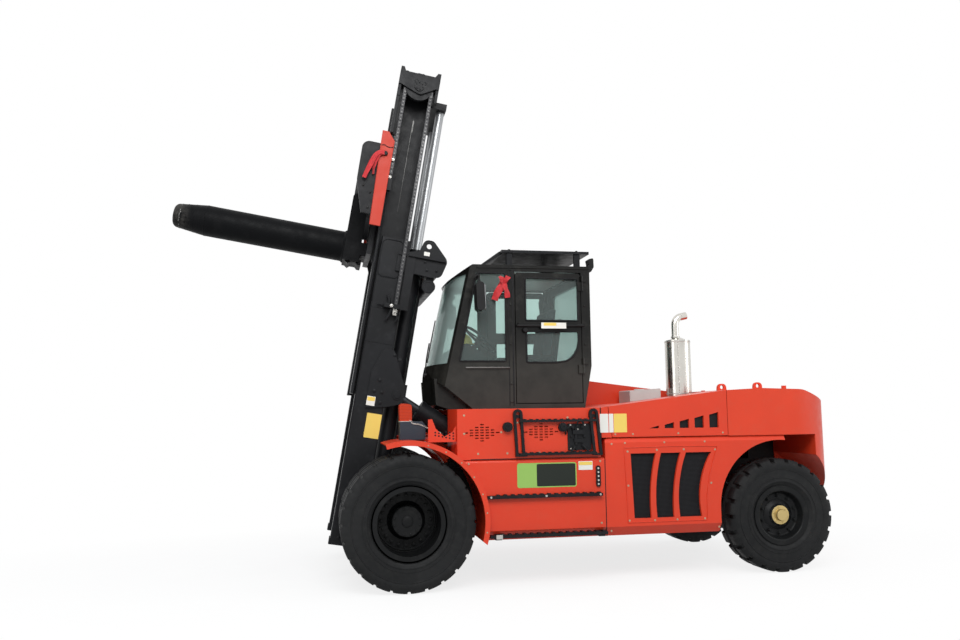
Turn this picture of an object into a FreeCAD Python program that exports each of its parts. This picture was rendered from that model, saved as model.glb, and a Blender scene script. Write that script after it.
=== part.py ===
"""Eighteen-tonne diesel lift truck with a coil ram, as a parametric FreeCAD document.

Millimetres. +X is forward, +Y is the driver's left and +Z is up. Sub-parts are drawn in the truck
frame, whose origin lies on the ground under the front axle, or in the mast frame, whose origin is the
mast's pivot and whose Z runs up the mast. Each sub-part's Placement then puts it in the row frame, whose
origin is the ground point under the middle of the whole truck.
"""
import FreeCAD, Part
import math
import os
import types
import Sketcher

V = FreeCAD.Vector
DOC = FreeCAD.newDocument("CoilRamTruck")

# ---------------------------------------------------------------------------------------------------
# Driving sizes
# ---------------------------------------------------------------------------------------------------
SIZES = [
    # chassis and running gear
    ("wheelbase", 3750), ("rear_overhang", 700),
    ("rail_outer", 430), ("rail_plate", 50), ("rail_top", 1060), ("rail_bottom", 430),
    ("rear_rail_outer", 330), ("axle_tube_radius", 120), ("axle_ball_radius", 225),
    ("drum_radius", 235), ("stub_radius", 65),
    ("front_tyre_radius", 620), ("front_tyre_width", 315), ("front_rim_radius", 345),
    ("front_seat_radius", 305), ("inner_wheel_y", 753), ("dual_spacing", 360),
    ("front_notches", 24), ("front_notch_depth", 22),
    ("rear_tyre_radius", 560), ("rear_tyre_width", 315), ("rear_rim_radius", 292),
    ("rear_seat_radius", 254), ("rear_wheel_y", 1000), ("rear_notches", 22), ("rear_notch_depth", 34),
    ("rim_half", 140), ("rim_flange", 15), ("rim_wall", 14), ("disc_y", 925), ("hub_out", 1075),
    ("kingpin_y", 790), ("kingpin_radius", 32), ("spindle_radius", 38), ("beam_half_x", 105),
    # mast
    ("pivot_x", 220), ("pivot_z", 600), ("tilt_angle", 9.5), ("pivot_pin_radius", 50),
    ("ear_radius", 110), ("mast_outer_y", 560), ("channel_rear", 140), ("channel_depth", 300),
    ("channel_flange", 30), ("channel_web", 25), ("channel_lip", 120),
    ("outer_mast_bottom", -250), ("outer_mast_top", 2780),
    ("inner_mast_bottom", 1160), ("inner_mast_top", 4570), ("inner_flange", 30), ("inner_web", 25),
    ("inner_lip", 75), ("mast_gap", 5), ("roller_gap", 6),
    ("barrel_y", 325), ("barrel_v", 50), ("barrel_radius", 80), ("barrel_bore", 50),
    ("rod_radius", 45), ("barrel_foot", 200), ("barrel_top", 2740), ("rod_top", 4275),
    ("rod_length", 1950),
    ("sheave_radius", 118), ("sheave_v", 332), ("sheave_u", 4385), ("chain_y", 620),
    ("chain_width", 34), ("chain_thick", 36), ("chain_anchor_u", 2100), ("chain_end_u", 3400),
    ("chain_pitch", 76),
    # carriage and ram
    ("carriage_bottom", 2420), ("carriage_top", 3300), ("bar_front", 570), ("bar_thick", 55),
    ("bar_half", 400), ("bar_height", 200), ("low_bar_u", 2600), ("hook_plate_front", 800),
    ("hook_plate_half", 190), ("hanger_bottom", 2540), ("ram_u", 2710), ("ram_radius", 161), ("ram_length", 1774), ("nose_length", 330),
    ("nose_radius", 118), ("nose_round", 55), ("guard_y", 650), ("guard_bottom", 2850), ("guard_top", 3835),
    # tilt cylinders
    ("tilt_pin_x", -750), ("tilt_pin_z", 1270), ("tilt_eye_v", 30), ("tilt_eye_u", 1210),
    ("tilt_y", 504), ("tilt_eye_half", 36), ("tilt_eye_radius", 68), ("tilt_barrel_radius", 98),
    ("tilt_rod_radius", 38), ("tilt_barrel_end", 700), ("tilt_pin_radius", 32),
    # body
    ("body_half", 1200), ("floor_z", 1650), ("deck_z", 1190), ("tank_top", 1175), ("tank_bottom", 430),
    ("tank_rear", -1885), ("fender_radius", 748), ("fender_sheet", 12), ("fender_inner", 612),
    ("fender_reach", 68), ("fender_lip", 48),
    ("side_box_front", -454), ("side_box_rear", -1850), ("side_box_inner", 612),
    ("panel_front", -1892), ("panel_top", 1358), ("panel_wall", 28), ("arch_ahead", 32),
    ("arch_z", 660), ("arch_radius", 650), ("arch_post_behind", 40),
    ("hood_front", -1862), ("hood_rear_ahead", 570), ("lid_hinge_y", 785), ("lid_front", -1936),
    ("lid_sheet", 25),
    ("lid_front_top", 1652), ("lid_rear_top", 1812), ("lid_gap", 6),
    ("cowl_side", 50), ("cowl_front_top", 1970), ("cowl_rear_top", 1815), ("shelf_z", 1690),
    ("muffler_z", 1770),
    ("weight_top", 1830), ("weight_bottom", 480), ("weight_corner", 520), ("well_inner", 345),
    ("well_radius", 720), ("tow_bore", 24), ("tow_jaw_low", 830), ("tow_jaw_top", 900),
    ("lift_eye_rise", 30), ("tail_reach", 410),
    # cab
    ("cab_half", 750), ("cab_wall", 45), ("cab_top", 3110), ("cab_rear", -1930), ("cab_nose", -255),
    ("cab_bow", 145), ("cab_rake", 12.4), ("cab_sill", 2110), ("roof_split", 3050),
    ("door_front", -1130), ("door_rear", -1835), ("hinge_out", 20), ("door_gap", 8), ("door_bottom", 1706),
    ("door_top", 3034), ("glass_inset", 18), ("glass_thick", 6), ("guard_z", 3250),
    # fits
    ("pin_clearance", 0.3), ("eye_gap", 5), ("rod_eye_slack", 3.2),
]

SHEET = DOC.addObject("Spreadsheet::Sheet", "Sizes")
for row, (alias, number) in enumerate(SIZES, start=1):
    SHEET.set(f"A{row}", alias)
    SHEET.set(f"B{row}", str(number))
    SHEET.setAlias(f"B{row}", alias)
DOC.recompute()


class Size:
    """A length or angle: its value now, and the expression that ties it to the sheet."""

    def __init__(self, value, text):
        self.value = float(value)
        self.text = text

    def __add__(self, other):
        other = sized(other)
        return Size(self.value + other.value, f"({self.text} + {other.text})")

    def __sub__(self, other):
        other = sized(other)
        return Size(self.value - other.value, f"({self.text} - {other.text})")

    def __mul__(self, other):
        other = sized(other)
        return Size(self.value * other.value, f"({self.text} * {other.text})")

    def __truediv__(self, other):
        other = sized(other)
        return Size(self.value / other.value, f"({self.text} / {other.text})")

    def __radd__(self, other):
        return sized(other) + self

    def __rsub__(self, other):
        return sized(other) - self

    def __rmul__(self, other):
        return sized(other) * self

    def __neg__(self):
        return 0 - self


def sized(number):
    """A bare number as a Size."""
    return number if isinstance(number, Size) else Size(number, f"({float(number)})")


def sine(angle):
    return Size(math.sin(math.radians(angle.value)), f"sin({angle.text})")


def cosine(angle):
    return Size(math.cos(math.radians(angle.value)), f"cos({angle.text})")


def root(size):
    return Size(math.sqrt(size.value), f"sqrt({size.text})")


def bearing(rise, run):
    """The angle in degrees whose tangent is rise over run, for a run above zero."""
    return Size(math.degrees(math.atan(rise.value / run.value)), f"(atan({rise.text} / {run.text}) / 1 deg)")


S = types.SimpleNamespace(**{alias: Size(number, f"Sizes.{alias}") for alias, number in SIZES})

# derived places, in the truck frame
NOSE_TAPER = (S.ram_radius - S.nose_radius) / S.nose_length
NOSE_FLAT = S.nose_radius - S.nose_round * (root(NOSE_TAPER * NOSE_TAPER + 1) - NOSE_TAPER)
RAM_TIP_V = S.hook_plate_front + S.ram_length
RAM_TIP_X = (S.pivot_x + (RAM_TIP_V - S.nose_round) * cosine(S.tilt_angle)
             + (NOSE_FLAT - S.ram_u) * sine(S.tilt_angle) + S.nose_round)
ORIGIN_X = (S.wheelbase + S.rear_overhang - RAM_TIP_X) / 2
REAR_X = -S.wheelbase - S.rear_overhang
OUTER_WHEEL_Y = S.inner_wheel_y + S.dual_spacing
FENDER_OUTER = S.body_half + S.fender_reach
HOOD_REAR = S.hood_rear_ahead - S.wheelbase
ARCH_X = S.arch_ahead - S.wheelbase
ARCH_POST = -S.wheelbase - S.arch_post_behind
TAIL_X = -S.wheelbase - S.tail_reach
CHANNEL_FRONT = S.channel_rear + S.channel_depth
CHANNEL_INNER = S.mast_outer_y - S.channel_lip
TILT_EYE_X = S.pivot_x + S.tilt_eye_v * cosine(S.tilt_angle) - S.tilt_eye_u * sine(S.tilt_angle)
TILT_EYE_Z = S.pivot_z + S.tilt_eye_v * sine(S.tilt_angle) + S.tilt_eye_u * cosine(S.tilt_angle)
TILT_RISE = TILT_EYE_Z - S.tilt_pin_z
TILT_RUN = TILT_EYE_X - S.tilt_pin_x
TILT_SPAN = root(TILT_RISE * TILT_RISE + TILT_RUN * TILT_RUN)
TILT_SLOPE = bearing(TILT_RISE, TILT_RUN)

# ---------------------------------------------------------------------------------------------------
# Building blocks
# ---------------------------------------------------------------------------------------------------
AXES = {"x": V(1, 0, 0), "y": V(0, 1, 0), "z": V(0, 0, 1)}
PLANES = {
    "XZ": (FreeCAD.Rotation(V(1, 0, 0), V(0, 0, 1), V(0, -1, 0)), "y"),
    "YZ": (FreeCAD.Rotation(V(0, 1, 0), V(0, 0, 1), V(1, 0, 0)), "x"),
    "XY": (FreeCAD.Rotation(), "z"),
}
ALONG = {"x": FreeCAD.Rotation(V(0, 1, 0), 90), "y": FreeCAD.Rotation(V(1, 0, 0), -90),
         "z": FreeCAD.Rotation()}


def bind(thing, prop, size):
    """Ties a property to the sheet, or sets it where the size is a bare number."""
    thing.setExpression(prop, sized(size).text)


def add(kind, name):
    return DOC.addObject(kind, name)


def put(thing, x=0, y=0, z=0, turn=None):
    """Sets where a piece stands, with each coordinate tied to the sheet."""
    if turn is not None:
        thing.Placement = FreeCAD.Placement(V(), turn)
    for axis, size in (("x", x), ("y", y), ("z", z)):
        if isinstance(size, Size):
            bind(thing, f"Placement.Base.{axis}", size)
        elif size:
            base = thing.Placement.Base
            setattr(base, axis, size)
            thing.Placement = FreeCAD.Placement(base, thing.Placement.Rotation)
    return thing


def box(name, x, y, z):
    """A block between two limits on each axis."""
    block = add("Part::Box", name)
    for prop, (low, high) in (("Length", x), ("Width", y), ("Height", z)):
        bind(block, prop, sized(high) - low)
    return put(block, x[0], y[0], z[0])


def rod(name, axis, start, radius, length):
    """A round bar from its start point along one axis."""
    bar = add("Part::Cylinder", name)
    bind(bar, "Radius", radius)
    bind(bar, "Height", length)
    return put(bar, *start, turn=ALONG[axis])


def cone(name, axis, start, radius_start, radius_end, length):
    taper = add("Part::Cone", name)
    bind(taper, "Radius1", radius_start)
    bind(taper, "Radius2", radius_end)
    bind(taper, "Height", length)
    return put(taper, *start, turn=ALONG[axis])


def outline(sketch, corners):
    """Draws a closed outline. A corner is (a, b), or (a, b, radius) where it is rounded."""
    count = len(corners)
    spots = [V(sized(c[0]).value, sized(c[1]).value, 0) for c in corners]
    tangents = []
    for index, corner in enumerate(corners):
        spot = spots[index]
        if len(corner) == 2:
            tangents.append((spot, spot))
            continue
        back = (spots[index - 1] - spot).normalize()
        ahead = (spots[(index + 1) % count] - spot).normalize()
        setback = sized(corner[2]).value / math.tan(back.getAngle(ahead) / 2)
        tangents.append((spot + back * setback, spot + ahead * setback))
    lines = []
    for index in range(count):
        start, end = tangents[index][1], tangents[(index + 1) % count][0]
        lines.append(sketch.addGeometry(Part.LineSegment(start, end), False))
    for index, corner in enumerate(corners):
        line_in, line_out = lines[index - 1], lines[index]
        if len(corner) == 2:
            sketch.addConstraint(Sketcher.Constraint("Coincident", line_in, 2, line_out, 1))
            geometry, point = line_out, 1
        else:
            entry, leave = tangents[index]
            towards = ((entry + leave) * 0.5 - spots[index]).normalize()
            radius = sized(corner[2]).value
            reach = math.hypot((entry - spots[index]).Length, radius)
            middle = spots[index] + towards * (reach - radius)
            anticlockwise = (middle - entry).cross(leave - entry).z > 0
            ends = (entry, middle, leave) if anticlockwise else (leave, middle, entry)
            arc = sketch.addGeometry(Part.Arc(*ends), False)
            first, second = (1, 2) if anticlockwise else (2, 1)
            sketch.addConstraint(Sketcher.Constraint("Tangent", line_in, 2, arc, first))
            sketch.addConstraint(Sketcher.Constraint("Tangent", arc, second, line_out, 1))
            rounding = sketch.addConstraint(Sketcher.Constraint("Radius", arc, radius))
            if isinstance(corner[2], Size):
                sketch.setExpression(f"Constraints[{rounding}]", corner[2].text)
            geometry, point = sketch.addGeometry(Part.Point(spots[index]), True), 1
            sketch.addConstraint(Sketcher.Constraint("PointOnObject", geometry, 1, line_in))
            sketch.addConstraint(Sketcher.Constraint("PointOnObject", geometry, 1, line_out))
        for kind, size in (("DistanceX", corner[0]), ("DistanceY", corner[1])):
            constraint = sketch.addConstraint(Sketcher.Constraint(kind, geometry, point, sized(size).value))
            if isinstance(size, Size):
                sketch.setExpression(f"Constraints[{constraint}]", size.text)
    return sketch


def slab(name, plane, corners, low, high, lean=None):
    """An outline in one plane, extruded between two limits across that plane."""
    turn, axis = PLANES[plane]
    sketch = outline(add("Sketcher::SketchObject", name + "_outline"), corners)
    put(sketch, turn=turn, **{axis: low})
    solid = add("Part::Extrusion", name)
    solid.Base = sketch
    solid.DirMode = "Custom"
    solid.Dir = lean or AXES[axis]
    bind(solid, "LengthFwd", sized(high) - low)
    solid.Solid = True
    return solid


def fuse(name, *pieces):
    joined = add("Part::MultiFuse", name)
    joined.Shapes = list(pieces)
    return joined


def cut(name, base, *tools):
    result = base
    for index, tool in enumerate(tools):
        step = add("Part::Cut", f"{name}_{index}" if index < len(tools) - 1 else name)
        step.Base, step.Tool = result, tool
        result = step
    return result


def common(name, base, *tools):
    shared = add("Part::MultiCommon", name)
    shared.Shapes = [base, *tools]
    return shared


def mirror(name, source):
    """The same piece on the right-hand side."""
    copy = add("Part::Mirroring", name)
    copy.Source = source
    copy.Normal = V(0, 1, 0)
    copy.Base = V()
    return copy


def group(name, *pieces):
    gathered = add("Part::Compound", name)
    gathered.Links = list(pieces)
    return gathered


def both(name, left):
    """A left-hand piece together with its right-hand twin, as two solids."""
    return group(name, left, mirror(name + "_right", left))


def body_sketch(body, name, role, corners, offset=None):
    """A sketch on one of a body's own origin planes."""
    sketch = body.newObject("Sketcher::SketchObject", name)
    plane = next(item for item in body.Origin.OriginFeatures if item.Role == role)
    sketch.AttachmentSupport = [(plane, "")]
    sketch.MapMode = "FlatFace"
    if offset is not None:
        bind(sketch, "AttachmentOffset.Base.z", offset)
    return outline(sketch, corners)


def turned(name, corners):
    """A PartDesign body turned about its own Y axis from an outline of (y, radius) corners."""
    body = add("PartDesign::Body", name)
    sketch = body_sketch(body, name + "_section", "YZ_Plane", corners)
    turn = body.newObject("PartDesign::Revolution", name + "_turned")
    turn.Profile = sketch
    turn.ReferenceAxis = (sketch, ["H_Axis"])
    turn.Angle = 360
    body.Tip = turn
    return body


NODES = {}


def node(name, thing, x=ORIGIN_X, y=0, z=0, turn=None, angle=None):
    """Names a finished sub-part and places it in the row frame."""
    thing.Label = name
    put(thing, x, y, z, turn=turn)
    if angle is not None:
        bind(thing, "Placement.Rotation.Angle", angle)
    NODES[name] = thing


def mast_node(name, thing):
    """A sub-part drawn in the mast frame, leaning back with the mast."""
    lean = FreeCAD.Rotation(V(0, -1, 0), S.tilt_angle.value)
    node(name, thing, ORIGIN_X + S.pivot_x, 0, S.pivot_z, lean, S.tilt_angle)


def tilt_node(name, thing):
    """A sub-part of the tilt cylinders, drawn along X from their frame pin."""
    lean = FreeCAD.Rotation(V(0, -1, 0), TILT_SLOPE.value)
    node(name, thing, ORIGIN_X + S.tilt_pin_x, 0, S.tilt_pin_z, lean, TILT_SLOPE)

# ---------------------------------------------------------------------------------------------------
# Wheels
# ---------------------------------------------------------------------------------------------------
TYRE_SHOULDER = 60


def notch_ring(body, name, half_width, tread_radius, depth, width, reach, count, skew):
    """Cuts the gaps between the shoulder lugs, one ring on each side of the tyre."""
    rings = []
    for side, turn in ((1, -skew), (-1, skew)):
        low, high = tread_radius - depth, tread_radius + depth
        corners = [(turn - width / 2, low), (turn + width / 2, low), (turn + width / 2, high),
                   (turn - width / 2, high)]
        sketch = body_sketch(body, f"{name}_gap_{side}", "XZ_Plane", corners, -side * (half_width - reach))
        gap = body.newObject("PartDesign::Pocket", f"{name}_gap_cut_{side}")
        gap.Profile = sketch
        bind(gap, "Length", reach + width)
        gap.Reversed = side < 0
        rings.append(gap)
    ring = body.newObject("PartDesign::PolarPattern", name + "_gaps")
    ring.Originals = rings
    ring.Axis = (next(item for item in body.Origin.OriginFeatures if item.Role == "Y_Axis"), [""])
    ring.Angle = 360
    bind(ring, "Occurrences", count)
    body.Tip = ring


def tyre(name, width, radius, seat, flange, notches, depth, notch_width, reach):
    """A pneumatic tyre with lugs cut into both shoulders, seated between its rim flanges."""
    half = width / 2
    bead = S.rim_half - S.rim_flange
    shoulder = radius - TYRE_SHOULDER
    bulge = flange + TYRE_SHOULDER
    left = [(-bead, seat), (-bead, flange + 4), (-half, bulge, 40), (-half, shoulder, 45),
            (-half + TYRE_SHOULDER / 2, radius, 20)]
    right = [(half - TYRE_SHOULDER / 2, radius, 20), (half, shoulder, 45), (half, bulge, 40),
             (bead, flange + 4), (bead, seat)]
    body = turned(name, left + right)
    notch_ring(body, name, half, radius, depth, notch_width, reach, notches, 0)
    return body


def dual_rim(name):
    """Both front rims, their shared disc and the hub, turned as one weldment about the axle."""
    inner, outer, flange = S.inner_wheel_y, OUTER_WHEEL_Y, S.front_rim_radius
    seat, bore = S.front_seat_radius, S.stub_radius + S.eye_gap
    barrel = seat - S.rim_wall
    corners = [(inner - S.rim_half, barrel)]
    for centre in (inner, outer):
        for edge, lip in ((-S.rim_half, -S.rim_half + S.rim_flange), (S.rim_half, S.rim_half - S.rim_flange)):
            rise = [(centre + edge, seat), (centre + edge, flange), (centre + lip, flange), (centre + lip, seat)]
            corners += rise if edge.value < 0 else rise[::-1]
    corners.pop(1)
    corners.pop()
    hub_radius, disc_thick, cap = 150, 24, 40
    corners += [(outer + S.rim_half, barrel), (S.disc_y + disc_thick, barrel),
                (S.disc_y + disc_thick, hub_radius + 30), (S.disc_y + disc_thick + 30, hub_radius),
                (S.hub_out, hub_radius, 30), (S.hub_out, 0), (S.hub_out - cap, 0), (S.hub_out - cap, bore),
                (S.disc_y - 115, bore), (S.disc_y - 115, hub_radius - 20), (S.disc_y, hub_radius - 20),
                (S.disc_y, barrel)]
    return turned(name, corners)


def steer_rim(name):
    """The rear rim with its dished disc, hub and bright hub cap."""
    half, lip, flange = S.rim_half, S.rim_half - S.rim_flange, S.rear_rim_radius
    seat, bore = S.rear_seat_radius, S.spindle_radius + S.eye_gap
    barrel = seat - S.rim_wall
    corners = [(-half, barrel), (-half, flange), (-lip, flange), (-lip, seat), (lip, seat), (lip, flange),
               (half, flange), (half, barrel, 20), (60, barrel - 30, 20), (60, 150), (85, 110),
               (110, 95, 12), (110, 58), (150, 52, 8), (150, 0), (105, 0), (105, bore), (-85, bore), (-85, 90),
               (30, 90), (30, barrel - 40, 30), (-20, barrel)]
    return turned(name, corners)


def wheels():
    """Paired front tyres on their shared rims and hub, and single steered tyres at the back."""
    front_tyre = tyre("front_tyre", S.front_tyre_width, S.front_tyre_radius, S.front_seat_radius,
                      S.front_rim_radius, S.front_notches, S.front_notch_depth, 30, 52)
    front_rims = dual_rim("front_rims")
    rear_tyre = tyre("rear_tyre", S.rear_tyre_width, S.rear_tyre_radius, S.rear_seat_radius,
                     S.rear_rim_radius, S.rear_notches, S.rear_notch_depth, 44, 88)
    rear_rim = steer_rim("rear_rim")
    for side_name, sign in (("left", 1), ("right", -1)):
        facing = FreeCAD.Rotation(V(0, 0, 1), 0 if sign > 0 else 180)
        pair = [put(group(f"front_tyre_{place}_{side_name}", front_tyre), y=y)
                for place, y in (("inner", S.inner_wheel_y), ("outer", OUTER_WHEEL_Y))]
        node(f"front_tyres_{side_name}", group(f"front_tyre_pair_{side_name}", *pair), z=S.front_tyre_radius,
             turn=facing)
        node(f"front_rims_{side_name}", group(f"front_rim_pair_{side_name}", front_rims),
             z=S.front_tyre_radius, turn=facing)
        for name, piece in (("rear_tyre", rear_tyre), ("rear_rim", rear_rim)):
            node(f"{name}_{side_name}", group(f"{name}_set_{side_name}", piece), ORIGIN_X - S.wheelbase,
                 sign * S.rear_wheel_y, S.rear_tyre_radius, facing)


# ---------------------------------------------------------------------------------------------------
# Axles
# ---------------------------------------------------------------------------------------------------
def front_axle():
    """The drive axle: a turned casing with brake drums and the stub shafts the hubs run on."""
    ball, tube, drum, stub = S.axle_ball_radius, S.axle_tube_radius, S.drum_radius, S.stub_radius
    drum_in, drum_out = 628, S.disc_y - 135
    end = S.hub_out - 55
    half = [(130, ball, 60), (300, tube, 80), (drum_in, tube), (drum_in, drum, 12), (drum_out, drum, 12),
            (drum_out, stub + 30), (drum_out + 12, stub + 30), (drum_out + 12, stub), (end, stub)]
    mirrored = [(-corner[0], *corner[1:]) for corner in reversed(half)]
    casing = turned("axle_casing", [(-end, 0), *mirrored, *half, (end, 0)])
    casing.Placement = FreeCAD.Placement()
    nose = cone("axle_nose", "x", (-420, 0, 0), 90, 150, 320)
    yoke = rod("axle_yoke", "x", (-470, 0, 0), 70, 60)
    node("front_axle", fuse("front_axle_all", casing, nose, yoke), z=S.front_tyre_radius)


def steer_axle():
    """The rear beam, rocking on a fore-and-aft trunnion, with a yoke at each end for the knuckle."""
    half_x = S.beam_half_x
    beam_end, yoke_end = S.kingpin_y - 92, S.kingpin_y + 52
    beam = slab("beam", "YZ", [(-beam_end, 470), (-beam_end, 650), (-300, 690), (300, 690), (beam_end, 650),
                               (beam_end, 470), (300, 430), (-300, 430)], -half_x, half_x)
    arms = []
    for sign in (1, -1):
        for name, low, high in (("upper", 656, 698), ("lower", 422, 464)):
            spot = f"{name}_{sign}"
            arm = box(f"arm_{spot}", (-55, 55), (beam_end - 40, S.kingpin_y), (low, high))
            eye = rod(f"arm_eye_{spot}", "z", (0, S.kingpin_y, low), 55, high - low)
            hole = rod(f"arm_hole_{spot}", "z", (0, S.kingpin_y, low - 1), S.kingpin_radius + S.pin_clearance,
                       high - low + 2)
            web = box(f"arm_web_{spot}", (-55, 55), (beam_end - 40, beam_end),
                      (640, high) if name == "upper" else (low, 480))
            piece = cut(f"arm_cut_{spot}", fuse(f"arm_blank_{spot}", arm, eye, web), hole)
            arms.append(piece if sign > 0 else mirror(f"arm_right_{spot}", piece))
    trunnion = rod("trunnion", "x", (-half_x - 80, 0, 560), 60, 2 * half_x + 160)
    cylinder_x = half_x + 118
    cylinder = rod("steer_cylinder", "y", (cylinder_x, -300, 560), 55, 600)
    ram = rod("steer_cylinder_rod", "y", (cylinder_x, -450, 560), 26, 900)
    saddles = [box(f"steer_cylinder_saddle_{sign}", (half_x - 5, cylinder_x),
                   (245, 290) if sign > 0 else (-290, -245), (520, 600)) for sign in (1, -1)]
    node("steer_axle", fuse("steer_axle_all", beam, *arms, trunnion, cylinder, ram, *saddles),
         ORIGIN_X - S.wheelbase)


def knuckle(side_name, sign):
    """A steering knuckle: its kingpin between the yoke arms and the spindle the hub runs on."""
    block = box(f"knuckle_block_{side_name}", (-46, 46), (S.kingpin_y - 46, S.kingpin_y + 40), (469, 651))
    pin = rod(f"kingpin_{side_name}", "z", (0, S.kingpin_y, 416), S.kingpin_radius, 290)
    spindle = rod(f"spindle_{side_name}", "y", (0, S.kingpin_y, S.rear_tyre_radius), S.spindle_radius,
                  S.rear_wheel_y - S.kingpin_y + 95)
    shoulder = cone(f"spindle_root_{side_name}", "y", (0, S.kingpin_y + 38, S.rear_tyre_radius), 85, 60, 70)
    left = fuse(f"knuckle_left_{side_name}", block, pin, spindle, shoulder)
    whole = left if sign > 0 else mirror(f"knuckle_turned_{side_name}", left)
    node(f"knuckle_{side_name}", whole, ORIGIN_X - S.wheelbase)


# ---------------------------------------------------------------------------------------------------
# Chassis
# ---------------------------------------------------------------------------------------------------
def chassis():
    """Two deep side plates with the mast ears at the front, narrowed at the back over the steer axle."""
    inner = S.rail_outer - S.rail_plate
    ear, top, low = S.ear_radius, S.rail_top, S.rail_bottom
    front_end = S.pivot_x + ear
    rail_end = HOOD_REAR + 140
    rail = slab("rail", "XZ", [(front_end, S.pivot_z - ear, 100), (front_end, S.pivot_z + ear, 100),
                               (110, S.pivot_z + ear), (-70, top), (rail_end, top), (rail_end, low + 60),
                               (rail_end + 140, low), (-260, low), (-120, low + 40)], inner, S.rail_outer)
    axle_hole = rod("axle_hole", "y", (0, inner - 5, S.front_tyre_radius), S.axle_tube_radius,
                    S.rail_plate + 10)
    rail = cut("rail_cut", rail, axle_hole)
    pin = rod("mast_pin", "y", (S.pivot_x, S.rail_outer - 5, S.pivot_z), S.pivot_pin_radius,
              S.mast_outer_y - S.rail_outer - 10)
    outrigger = box("outrigger", (S.tilt_pin_x - 130, S.tilt_pin_x + 130), (S.rail_outer - 10, S.tilt_y + 70),
                    (top - 40, top + 30))
    lugs = []
    eye_half = S.tilt_eye_half + S.eye_gap
    for name, low_y, high_y in (("in", S.tilt_y - eye_half - 22, S.tilt_y - eye_half),
                                ("out", S.tilt_y + eye_half, S.tilt_y + eye_half + 22)):
        lugs.append(slab(f"tilt_lug_{name}", "XZ", [
            (S.tilt_pin_x - 110, top + 20), (S.tilt_pin_x - 70, S.tilt_pin_z + 70, 60),
            (S.tilt_pin_x + 70, S.tilt_pin_z + 70, 60), (S.tilt_pin_x + 110, top + 20)], low_y, high_y))
    tilt_pin = rod("tilt_frame_pin", "y", (S.tilt_pin_x, S.tilt_y - eye_half - 10, S.tilt_pin_z),
                   S.tilt_pin_radius, 2 * eye_half + 20)
    half = inner - 5
    bridge_top = S.rear_tyre_radius + 500
    rear_rail = box("rear_rail", (TAIL_X, rail_end + 10), (S.rear_rail_outer - 60, S.rear_rail_outer),
                    (770, bridge_top + 20))
    rear_post = box("rear_post", (TAIL_X, TAIL_X + 310), (S.rear_rail_outer - 60, S.rear_rail_outer),
                    (bridge_top, S.panel_top + 2))
    left = fuse("chassis_left", rail, pin, outrigger, *lugs, tilt_pin, rear_rail, rear_post)
    cross = []
    for name, x_low, x_high, z_low, z_high in (("front", -260, -220, 790, 940),
                                               ("middle", -1000, -960, 470, 1040),
                                               ("gearbox", -1800, -1760, 470, 1040)):
        cross.append(box(f"cross_{name}", (x_low, x_high), (-half - 10, half + 10), (z_low, z_high)))
    cross.append(box("cross_rear", (rail_end - 5, rail_end + 35), (-S.rail_outer, S.rail_outer),
                     (500, S.rail_top)))
    for sign in (1, -1):
        near, far = S.beam_half_x + 8, S.beam_half_x + 48
        limits = ((-S.wheelbase + near, -S.wheelbase + far) if sign > 0 else
                  (-S.wheelbase - far, -S.wheelbase - near))
        plate = slab(f"trunnion_plate_{sign}", "YZ", [
            (-S.rear_rail_outer, 780), (-110, 480), (110, 480), (S.rear_rail_outer, 780),
            (S.rear_rail_outer, 1075), (-S.rear_rail_outer, 1075)], *limits)
        hole = rod(f"trunnion_hole_{sign}", "x", (limits[0] - 1, 0, 560), 60, 42)
        cross.append(cut(f"trunnion_bracket_{sign}", plate, hole))
    cross.append(box("cross_tail", (TAIL_X, TAIL_X + 40), (-S.rear_rail_outer, S.rear_rail_outer),
                     (780, 1075)))
    node("chassis_frame", fuse("chassis_all", left, mirror("chassis_right", left), *cross))


def engine():
    """The diesel engine and its gearbox as one plain heavy block between the rails."""
    block = box("engine", (HOOD_REAR + 220, S.hood_front + 22), (-330, 330), (560, 1340))
    node("engine_block", group("engine_blocks", block))


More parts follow.
